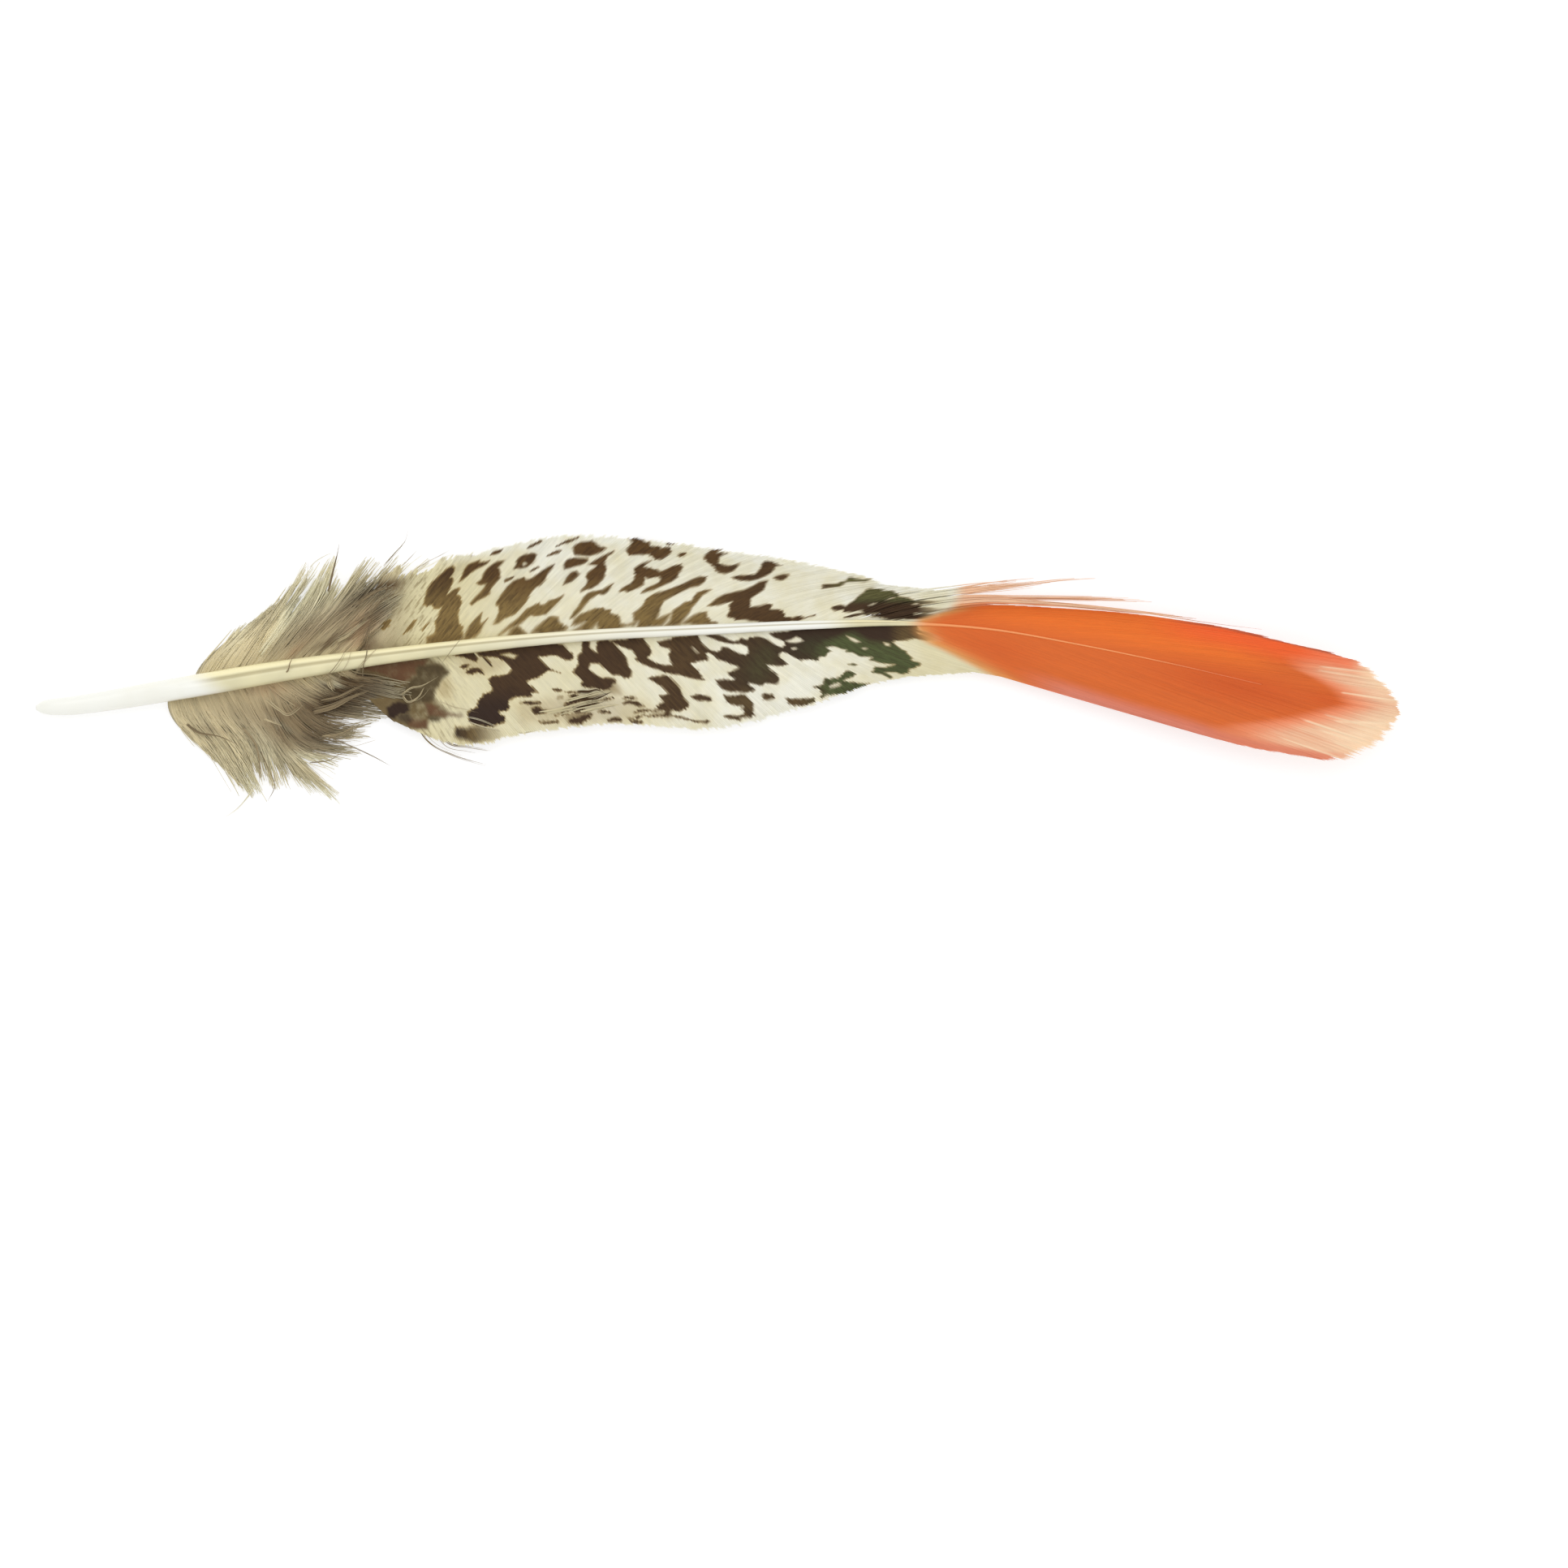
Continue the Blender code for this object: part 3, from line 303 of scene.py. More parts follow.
LOWER_MARKS = [
    (-36.4, -3.8, -35.6, -3.3, -35, -3.1, -34, -3.3, -33.8, -4.1, -34.2, -4.6, -34.9, -4.6, -35.4, -5,
     -36.2, -4.9),
    (-26.5, 2.3, -25.5, 2.5, -23.9, 2.7, -21.9, 3, -20, 3.2, -19, 3.4, -17.1, 3.3, -16.6, 2.8, -16.4,
     2.5, -15.9, 2.2, -16, 1.6, -16.2, 1.4, -16.6, 1.4, -17.1, 1.7, -17.7, 2, -19.8, 1.9, -19.4, 1.5,
     -18.8, 0.9, -18.3, 0.5, -17.3, 0.1, -18.5, 0.4, -18.9, 0.2, -19, 0, -19.5, -0.3, -20.3, -0.6, -21,
     -0.8, -20.9, -1.1, -20.3, -1.5, -19.8, -2.1, -20.5, -2.1, -20.4, -2.5, -21, -2.6, -21.6, -2.6,
     -22.4, -2.7, -22.9, -2.9, -23, -3.4, -22.8, -3.7, -23.1, -4.1, -24, -4.2, -24, -4.5, -23.3, -4.8,
     -23.4, -5.3, -23.9, -5.6, -24.7, -5.8, -25.6, -5.8, -26.6, -5.7, -27.3, -5.3, -27.5, -4.4, -27.2,
     -4, -26.5, -3.6, -26.3, -3, -25.8, -2.3, -24.9, -2, -24.7, -1.7, -25, -1.2, -25.2, -0.6, -24.9,
     -0.3, -23.9, -0.3, -23.1, 0, -22.7, 0.3, -22.8, 0.7, -23.4, 1.3, -24.1, 1.7, -24.9, 1.9, -25.5, 1.8,
     -26.2, 1.9),
    (-29.1, 2, -27.8, 2.3, -26.8, 2.3, -26.3, 1.6, -26.5, 1.3, -27.2, 1.5, -28, 1.8),
    (-28.4, 0.7, -27.9, 1, -27.1, 1, -27.8, 0.5),
    (-27.8, 0.1, -27.5, 0.4, -26.9, 0.6, -26.1, 0.6, -25.5, -0.2, -26.4, 0.1, -27.1, -0.1),
    (-21.7, -3.3, -21.2, -3.1, -19.4, -3.1, -19.3, -3.3, -20.5, -3.5),
    (-20.5, -3.9, -20, -3.7, -19.6, -3.6, -19.2, -4, -18.2, -4.1, -19, -4.3, -19.6, -4.6, -20.2, -4.5),
    (-19.6, -5.4, -19, -5.3, -17.4, -5.2, -17.3, -5.4, -19.2, -5.6),
    (-16.6, -5.3, -16.1, -4.9, -14.9, -4.7, -13.7, -4.3, -14, -5, -14.8, -5.5, -15.7, -5.6),
    (-15.8, -4.1, -15, -3.9, -14.4, -3.9, -14.6, -4.4, -15.6, -4.4),
    (-14.8, 3.6, -14.1, 3.6, -14, 2.8, -13.2, 2.2, -13.4, 2.8, -13.3, 3.6, -12, 3.7, -11.4, 3.4, -11,
     2.9, -10.5, 2.4, -10, 1.7, -9.8, 1.1, -9.7, 0.7, -9.4, 0.4, -9.4, 0, -9.7, -0.4, -10.3, -0.5, -10.7,
     -0.2, -11.5, -0.2, -12.1, 0.3, -12.6, 0.7, -13, 1.1, -13.8, 1, -14.3, 0.6, -13.8, 0.2, -13.1, -0.3,
     -12.5, -0.6, -11.5, -0.5, -11.1, -0.8, -11.5, -1.6, -12.6, -1.8, -14, -1.6, -14.7, -1.5, -15, -1.3,
     -14.9, -0.8, -15.4, -0.3, -16, 0.2, -15.5, 0.5, -15.4, 0.9, -15.4, 1.5, -15.5, 2, -14.8, 2.2, -14.9,
     2.8),
    (-12, 3.6, -10.9, 3.8, -9.9, 3.8, -9.7, 4, -8.2, 4, -7.9, 3.5, -7.5, 3, -7.3, 2.4, -7.6, 1.6, -7.2,
     1.4, -6.5, 1.1, -5.7, 1, -4.9, 0.9, -5.3, 1.5, -5.4, 2.1, -5.2, 2.3, -5.2, 2.7, -6.3, 3, -6.6, 3.5,
     -5.4, 3.7, -4.7, 4, -3.7, 4.1, -3.2, 4.2, -2.1, 4.3, -2, 3.9, -1.7, 3.4, -1.3, 3, -0.8, 2.6, 0.3,
     2.3, 0.3, 1.4, -0.4, 2, -0.9, 2.3, -1.3, 2.2, -0.9, 1.5, -1.2, 1.4, -2, 1.3, -2.9, 1.1, -2.4, 0.6,
     -2, 0.3, -1.8, -0.2, -1.5, -0.3, -1.7, -0.5, -1.2, -0.8, -2.1, -0.7, -2.9, -0.5, -4, -0.2, -4.9, 0,
     -5.7, 0.1, -6.5, 0.4, -7.3, 0.7, -8.1, 1, -8.8, 1.4, -9.1, 1.6, -9, 2, -9.4, 2.6, -10, 2.8, -10.6,
     3, -11.4, 3.4),
    (-7.7, -0.5, -7.1, -0.3, -6.2, -0.2, -5.3, -0.3, -4.9, -0.7, -4.4, -1.2, -4, -1.7, -3.8, -2.4, -3.6,
     -2.8, -3.2, -3.2, -3.2, -3.7, -3.7, -4, -4.3, -4.2, -5, -4.1, -5.2, -4.7, -6.2, -4.8, -5.7, -4.1,
     -6.3, -4, -6.7, -3.9, -6.7, -3.5, -6.2, -3.3, -5.8, -3.1, -6.2, -2.8, -6.3, -2.5, -5.4, -2.2, -5.8,
     -1.8, -6.2, -1.4, -6.7, -1.1, -7.2, -0.8),
    (-3, -2.5, -2.6, -2.3, -1.9, -2.3, -0.9, -2.5, -0.6, -2.8, -0.9, -3.1, -1.7, -3, -2.5, -2.9),
    (-10.5, -2.8, -9.7, -2.6, -9, -2.6, -8.8, -2.7, -9.1, -2.9, -10, -2.9),
    (-10.6, -3.3, -9.9, -3.1, -8.8, -3.1, -8.4, -3.3, -7.9, -3.7, -8.6, -3.7, -9.4, -3.5),
    (-12.4, -5.2, -11.4, -4.9, -10.9, -4.8, -10.4, -5, -10.6, -5.3, -11.8, -5.3),
    (-9.7, -5.1, -8.8, -5.1, -8.3, -5.2, -8, -5.4, -9.3, -5.5),
    (-2, -5.2, -1.2, -5.2, -0.6, -5.2, -1.1, -5.5, -1.9, -5.4),
    (-1.5, 4.3, -0.6, 4.3, 0.1, 4.3, 0.9, 4, 1.2, 3.8, 1.7, 3.6, 2.4, 3.7, 2.6, 4, 3.2, 3.7, 3.6, 4, 4.3,
     4.1, 4.9, 4, 5.5, 3.8, 5.9, 3.5, 6.4, 3.2, 6.8, 3, 7.4, 3, 7.9, 2.9, 7.9, 2.2, 7.2, 2.4, 6.8, 2.1,
     6.9, 1.8, 7.3, 1.5, 7.7, 1.1, 7.6, 0.9, 6.8, 0.8, 6.1, 0.9, 5.4, 1, 5.9, 0.4, 6.4, 0.1, 6.7, -0.3,
     6.8, -0.7, 6.6, -1.2, 5.4, -1.1, 5, -1.3, 3.5, -1.1, 3.4, -1.3, 3.9, -1.5, 4.2, -1.7, 3.9, -2, 3.2,
     -2.1, 1.9, -2.1, 1.1, -2, 0.5, -1.7, 0.1, -1.3, -0.2, -0.8, 0.7, -0.7, 2, -0.7, 1.8, -0.5, 1.3,
     -0.2, 1.1, 0.1, 1.8, 0.3, 2.3, 0.6, 2.2, 0.9, 1.5, 1, 0.9, 1.3, 0, 1.6, -0.3, 1.9, 0, 2.4, 0.5, 2.9,
     1.1, 2.9, 1.7, 2.6, 2.5, 2.2, 3.2, 2.1, 3.4, 2.4, 3.3, 3, 2.5, 3.3, 1.4, 3.3, 0, 3.6, -0.6, 3.9),
    (5.7, 4.4, 6.5, 4.6, 8.1, 4.7, 8.5, 4.9, 9.5, 5, 11.8, 5.2, 15, 5.5, 18, 5.6, 22, 5.5, 22.2, 4.8, 22,
     4.1, 21.6, 3.8, 20.5, 3.7, 19.9, 3.6, 19.3, 3.5, 19.9, 3, 20.3, 2.7, 20.8, 2.5, 20.9, 2.2, 21.5,
     1.7, 21.3, 1.4, 22.3, 1.2, 22.4, 1, 21.9, 0.6, 21.2, 0.5, 21, 0.1, 20.6, 0, 20.2, -0.1, 19.8, 0.1,
     18.4, 0.1, 18.8, -0.1, 19.3, -0.4, 19.1, -0.6, 18.7, -0.4, 18.1, -0.1, 17.7, 0, 17, 0, 17.1, 0.3,
     17.4, 0.7, 18.3, 0.6, 18.8, 0.8, 19.6, 1, 18.8, 1.1, 17.9, 1.2, 17.3, 1.4, 16.7, 1.5, 17.1, 1.9,
     16.6, 1.9, 15.6, 1.9, 15.2, 2.2, 14.8, 2.4, 14.2, 2.3, 14.2, 2.7, 13.7, 2.7, 13.2, 2.9, 12.6, 3, 12,
     2.9, 12.6, 2.5, 12.2, 2.2, 11.9, 1.9, 11.1, 1.8, 11.2, 1.5, 10.9, 1.3, 10.6, 1.5, 9.3, 1.5, 8.5,
     1.8, 7.9, 2.1, 7.4, 2.6, 7.3, 2.9, 7.5, 3.1, 7.4, 3.5, 6.9, 3.7, 6.2, 4),
    (0.7, -2.4, 1.5, -2.5, 2.5, -2.4, 3, -2.3, 3.4, -2.7, 3.9, -3.2, 4.1, -3.8, 4, -4.3, 4.3, -4.6, 3.9,
     -4.8, 2.6, -5, 2.6, -5.2, 1.9, -5.1, 1.1, -4.9, 0.7, -4.8, 0.8, -4.5, 1.5, -4.6, 2.4, -4.7, 2.9,
     -4.5, 3, -4.2, 2.6, -3.9, 3, -3.7, 2.5, -3.6, 1.6, -3.5, 1.1, -3.2, 0.9, -2.8),
    (4.9, -2.6, 5.2, -2.2, 6, -2.2, 6.3, -2.6, 5.8, -3, 5.1, -2.9),
    (7.5, -2.7, 8.2, -2.8, 10.7, -2.7, 10.8, -3.1, 9.4, -3.6, 8.9, -3.5, 8.4, -3.6, 7.9, -3.4),
    (14.4, 0.9, 14.9, 1.1, 15.5, 1, 15.2, 0.8),
    (10.4, -1.5, 11, -1.4, 11.7, -1.2, 11.7, -0.5, 12.1, -0.5, 13.2, -0.6, 13.7, -0.2, 14, 0.2, 14.4,
     0.3, 14.8, 0.2, 15.3, -0.1, 14.8, -0.4, 14.4, -0.6, 13.9, -0.7, 14, -0.9, 15, -1, 16, -1.1, 16.8,
     -1.1, 16.4, -1.4, 15.5, -1.8, 14.4, -2.1, 13.6, -2.3, 12.7, -2.3, 12, -2.4, 11.6, -2.8, 11.3, -2.7,
     11.5, -2.3, 11.3, -1.8),
]

# Washed-out patches and smears of the lower vane: a strength, then x and y of each corner.
FAINT_MARKS = [
    (0.95, -29, -6.5, -28.7, -6, -27.6, -5.9, -26.6, -5.8, -25, -6, -23.8, -6.2, -22.8, -6.6, -23.6,
     -7.2, -25.2, -7.4, -26.6, -7.6, -28.2, -7.3, -28.9, -6.9),
    (0.5, -13.4, -0.8, -11.3, -0.8, -10.7, -1.8, -10.4, -2.5, -11.4, -2.3, -13, -2),
    (0.5, -7.3, -4, -5, -4.1, -5, -4.8, -7.2, -4.6),
    (0.75, -35.3, -4.6, -33.9, -4.3, -33.3, -5.2, -33.9, -5.7, -35, -5.2),
    (0.22, -22.4, -3.4, -19, -2.6, -15, -2, -12, -2.2, -8, -3, -6.8, -4.4, -9, -5.4, -15, -5.6, -21.6,
     -5.6),
    (0.25, -31, -0.9, -29.6, -0.3, -29.2, -1.4, -29.4, -2.8, -30.6, -2.6, -31, -1.8),
    (0.22, -28.6, 2.2, -23.4, 2, -22.8, 0.9, -24.6, -0.2, -28, 0),
    (0.45, -16.8, -3.6, -15.4, -2.3, -13.2, -1.8, -12.6, -2.4, -14.2, -3.4, -15.8, -3.9),
    (0.55, -17.0, -4.7, -15.3, -3.9, -13.9, -4.1, -14.2, -5.1, -16.4, -5.5),
    (0.5, -20.6, -3.8, -18.6, -3.8, -17.0, -4.3, -19.8, -4.6),
]

# Downy patches at the lower vane's base: reddish brown, olive and dark.
RUST_PATCHES = [
    (-39.4, 1, -37, 1.3, -35, 1.5, -33, 1.7, -31.9, 1.6, -32.2, 1, -33, 0.6, -33.3, 0, -33.8, -0.6,
     -34.6, -1, -35.4, -0.7, -36.4, -0.3, -37.5, 0.1, -38.8, 0.3),
    (-33.9, -5, -32.8, -5, -31.8, -5.2, -31.9, -5.9, -32.8, -6.2, -33.8, -5.9),
    (-32.1, -3.3, -31.3, -3.4, -29.9, -4.3, -28.2, -4.4, -28, -4.7, -30, -4.8, -31.8, -4.7),
]
KHAKI_PATCHES = [
    (-39.5, 1.2, -37, 1.4, -34.5, 1.7, -32, 1.8, -30.6, 1.2, -29.6, 0.3, -30.4, -0.9, -31, -1.8, -31.1,
     -2.7, -30.6, -3.4, -29.6, -4, -29.6, -4.6, -31.8, -5.2, -32, -6.1, -33.8, -6.2, -36.2, -5.3, -38.6,
     -4.4),
]
SOOT_PATCHES = [
    (-33, 0.9, -31.8, 1.1, -30.8, 1.1, -30.2, 0.9, -29.6, 0.2, -29.9, -0.3, -30.6, -0.9, -31, -1.6,
     -31.2, -2.7, -31.8, -3.2, -33, -3.1, -34, -3.2, -34.9, -2.9, -35, -2.1, -34.6, -1.4, -33.8, -0.8,
     -33.2, 0),
    (-31.9, -4.8, -31, -4.7, -30.4, -4.9, -30.6, -5.3, -31.4, -5.3),
]

# Cream spots inside the dark marks.
CREAM_SPOTS = [
    (-21.5, 12.1, -21.2, 12.35, -20.95, 12.1, -21.3, 11.9),
    (-16, 12.8, -15.3, 13.1, -14.2, 13, -14.3, 12.7, -15.3, 12.75),
    (14.2, 4.2, 15.1, 3.9, 15.8, 3.5, 15.3, 3.4, 14.7, 3.7),
    (15.9, 2.8, 16.3, 2.9, 16.6, 2.8, 16.2, 2.6), (18.3, 3.5, 19.1, 3.3, 19, 3, 18.5, 3.1),
    (7.5, 3.6, 8.2, 3.8, 8.7, 4.1, 9.2, 3.9, 9.5, 3.6, 8.9, 3.4, 8, 3.4),
    (8.1, 2.8, 8.6, 2.9, 8.8, 2.7, 8.3, 2.6),
    (12.3, -1.5, 12.9, -1.1, 13.5, -1, 13.6, -1.4, 12.8, -1.6, 12.4, -1.7),
    (-2.9, 3, -2.5, 2.8, -2, 2.2, -2.3, 2.3), (16.6, 7.5, 17.2, 7.8, 17.6, 7.8, 17.1, 7.5),
    (18.4, 8.1, 19, 8.4, 19.7, 8.4, 19, 8.2), (21.5, 7.6, 21.9, 7.8, 22.2, 7.7, 21.9, 7.5),
    (16.7, 6.6, 17.2, 6.7, 17.7, 6.7, 17.2, 6.5), (-24, 2.1, -22.9, 2.3, -22, 2, -22.4, 1.6, -23.3, 1.9),
]

# Thin streaks of mark, each as (x, y, x, y, half width).
THIN_MARKS = [
    (20.4, 7.7, 24.6, 7.9, 0.22), (20.4, 6.9, 24.8, 7.1, 0.28), (20.8, 6.2, 24.4, 6.4, 0.3),
    (20.8, 4.3, 24.6, 3.7, 0.3), (-36.8, 5, -36.1, 5.8, 0.3), (-32.5, 4.8, -31.8, 5.6, 0.12),
    (-27, 13, -25.3, 13.9, 0.13), (-24.8, 13.1, -23.6, 13.6, 0.16), (-23.4, 10.2, -22.4, 10.7, 0.15),
    (-20.8, 13.8, -19.2, 14.6, 0.14), (-20.7, 11.3, -19.6, 11.8, 0.14), (-18.6, 13, -17.3, 13.5, 0.17),
    (-17.7, 14, -15.2, 15, 0.13), (-5.4, 14.3, -4.5, 14.5, 0.2), (-4.2, 13, -3.5, 13.2, 0.22),
    (14, 6.2, 16.4, 6.7, 0.14), (-34.5, 4.5, -33.3, 5.9, 0.2), (-36.2, 7.6, -35.2, 8.6, 0.16),
    (21.4, 6.9, 23.4, 7.1, 0.2), (22, 4.7, 25, 3.8, 0.22), (-25.7, 1.8, -24.8, 0.8, 0.16),
    (-18.1, -1.8, -17.1, -1.9, 0.15), (-16.8, -2.1, -15, -2, 0.1), (-16.3, -2.5, -15.4, -2.4, 0.18),
    (-16.7, -3.5, -15.2, -2.9, 0.26), (-15.2, -2.9, -13.9, -2.3, 0.2), (-14.6, -3.4, -12.9, -3.1, 0.15),
    (-12.9, -3.1, -11.5, -2.6, 0.15), (-13, -4.2, -11.8, -4.3, 0.16), (-9.1, -4.3, -7.5, -4.1, 0.14),
    (-7.5, -4.1, -5.9, -4, 0.12), (-9.8, -5, -8, -4.7, 0.1), (-8, -4.7, -4.8, -4.7, 0.12),
    (-4.8, -4.7, -3, -5.1, 0.12), (-3, -5.1, -1.8, -5.4, 0.12), (-17.7, -2.7, -16.9, -2.6, 0.1),
    (-17.8, -4.6, -15.9, -4.3, 0.12),
]

# Pale split lines in the soft end, each as (x, y, x, y, half width).
SPLIT_LINES = [
    (68.6, -2.15, 74.6, -3.05, 0.11), (64.4, -5.15, 72.2, -8.0, 0.13), (66.0, -6.25, 71.8, -8.1, 0.1),
    (66.4, 0.7, 71.8, 0.0, 0.09), (66.0, 0.3, 72.6, -0.75, 0.1), (68.0, -5.3, 74.4, -5.6, 0.14),
    (66.8, -4.6, 73.8, -6.6, 0.1), (62.0, -7.2, 68.4, -9.4, 0.1), (67.6, -7.6, 71.0, -8.9, 0.12),
]

# Where cream turns to orange, as (y, x), and where the deep arrowhead ends, as (height over the axis, x).
ORANGE_START = [
    (-1, 31.5), (0.4, 29), (1.4, 27.1), (2.1, 25.8), (2.7, 24.6), (3.2, 23.5), (3.9, 22.4), (4.4, 21.9),
    (5.5, 21.7), (6.1, 22.3), (6.65, 24.2), (6.9, 25.2), (7.3, 26), (8.5, 26.6), (10, 26.6),
]
ARROWHEAD = [
    (-6, 54), (-5.2, 56), (-3.9, 60), (-2.7, 63), (-1.2, 66), (-0.1, 68.6), (0.8, 67.9), (1.45, 67),
    (2.0, 65.5), (2.6, 63.2), (4, 62.0),
]

# Soft fields of tone, each as (x, y, long radius, short radius, angle in degrees, strength).
DOWN_GREY = [
    (-45.2, 4.5, 3.2, 1.5, 40, 0.7), (-40.8, 7.0, 4.2, 1.6, 30, 0.8), (-37.2, 9.4, 2.6, 1.0, 25, 0.7),
    (-48.5, 2.2, 4.0, 1.0, 14, 0.35), (-44.0, -5.4, 5.2, 3.6, -20, 1.0),
    (-39.5, -3.0, 3.6, 2.4, -10, 0.9), (-50.6, -8.2, 3.4, 0.9, -62, 0.2),
    (-55.5, -6.6, 2.4, 0.5, -8, 0.5), (-53.0, -3.8, 7.5, 2.4, -10, 0.55),
    (-48.2, -7.0, 3.0, 2.0, -35, 0.4),
]
DOWN_DARK = [
    (-43.6, 3.0, 2.2, 0.6, 25, 0.7), (-36.6, 9.5, 2.8, 0.7, 18, 0.9), (-41.8, 4.4, 2.4, 1.2, 30, 0.45),
    (-41.6, -3.4, 3.8, 1.1, 8, 1.0), (-39.6, -1.4, 3.0, 1.4, 8, 0.8), (-44.6, -7.0, 4.2, 2.0, -10, 0.5),
    (-37.6, -2.6, 4.4, 2.8, -10, 0.9), (-37.4, 6.6, 1.6, 0.5, 35, 0.4), (-36.0, 7.4, 3.0, 2.2, 40, 0.4),
    (-35.4, 4.4, 2.6, 1.0, 30, 0.25),
]
DOWN_RUST = [
    (-39.2, 5.0, 2.6, 1.4, 48, 0.75), (-46.5, 2.4, 1.6, 0.4, 40, 0.5), (-49.5, -1.6, 3.0, 0.9, 5, 0.5),
    (-38.4, 3.2, 1.2, 0.8, 20, 0.6), (-37.2, 0.4, 2.0, 0.8, 5, 0.7), (-36.6, 6.4, 1.6, 1.0, 40, 0.4),
]
DOWN_PALE = [
    (-47.6, 5.6, 3.4, 0.6, 55, 0.8), (-52.4, 4.4, 2.8, 0.8, 52, 0.35), (-34.0, 12.0, 2.8, 0.9, 35, 0.5),
    (-51.2, -12.2, 2.0, 1.1, -50, 0.6), (-49.8, -8.6, 2.6, 1.3, -58, 0.4),
    (-44.4, -9.4, 2.6, 0.5, -5, 0.6), (-43.0, -13.4, 3.0, 1.0, -30, 0.7),
    (-32.8, 7.0, 1.8, 2.0, 40, 0.8), (-42.6, -1.0, 0.9, 0.5, 0, 0.5), (-46.0, 8.6, 3.4, 2.0, 48, 0.6),
    (-48.2, -5.6, 1.4, 0.3, -25, 0.3), (-35.4, 5.4, 0.8, 1.2, 40, 0.3), (-42.6, 9.4, 3.4, 1.8, 50, 0.45),
]
GREEN_FIELD = [
    (4.7, 0.6, 1.9, 1.5, 60, 1.0), (10.4, 2.9, 2.2, 1.2, 10, 1.0), (5.6, 2.4, 1.2, 1.0, 0, 0.5),
]
DEEP_FIELD = [
    (57.5, -1.6, 9.5, 2.3, -12, 1.0), (31.0, 2.6, 4.0, 1.6, -20, 0.45), (66.8, -2.9, 2.2, 0.8, -12, 0.5),
]

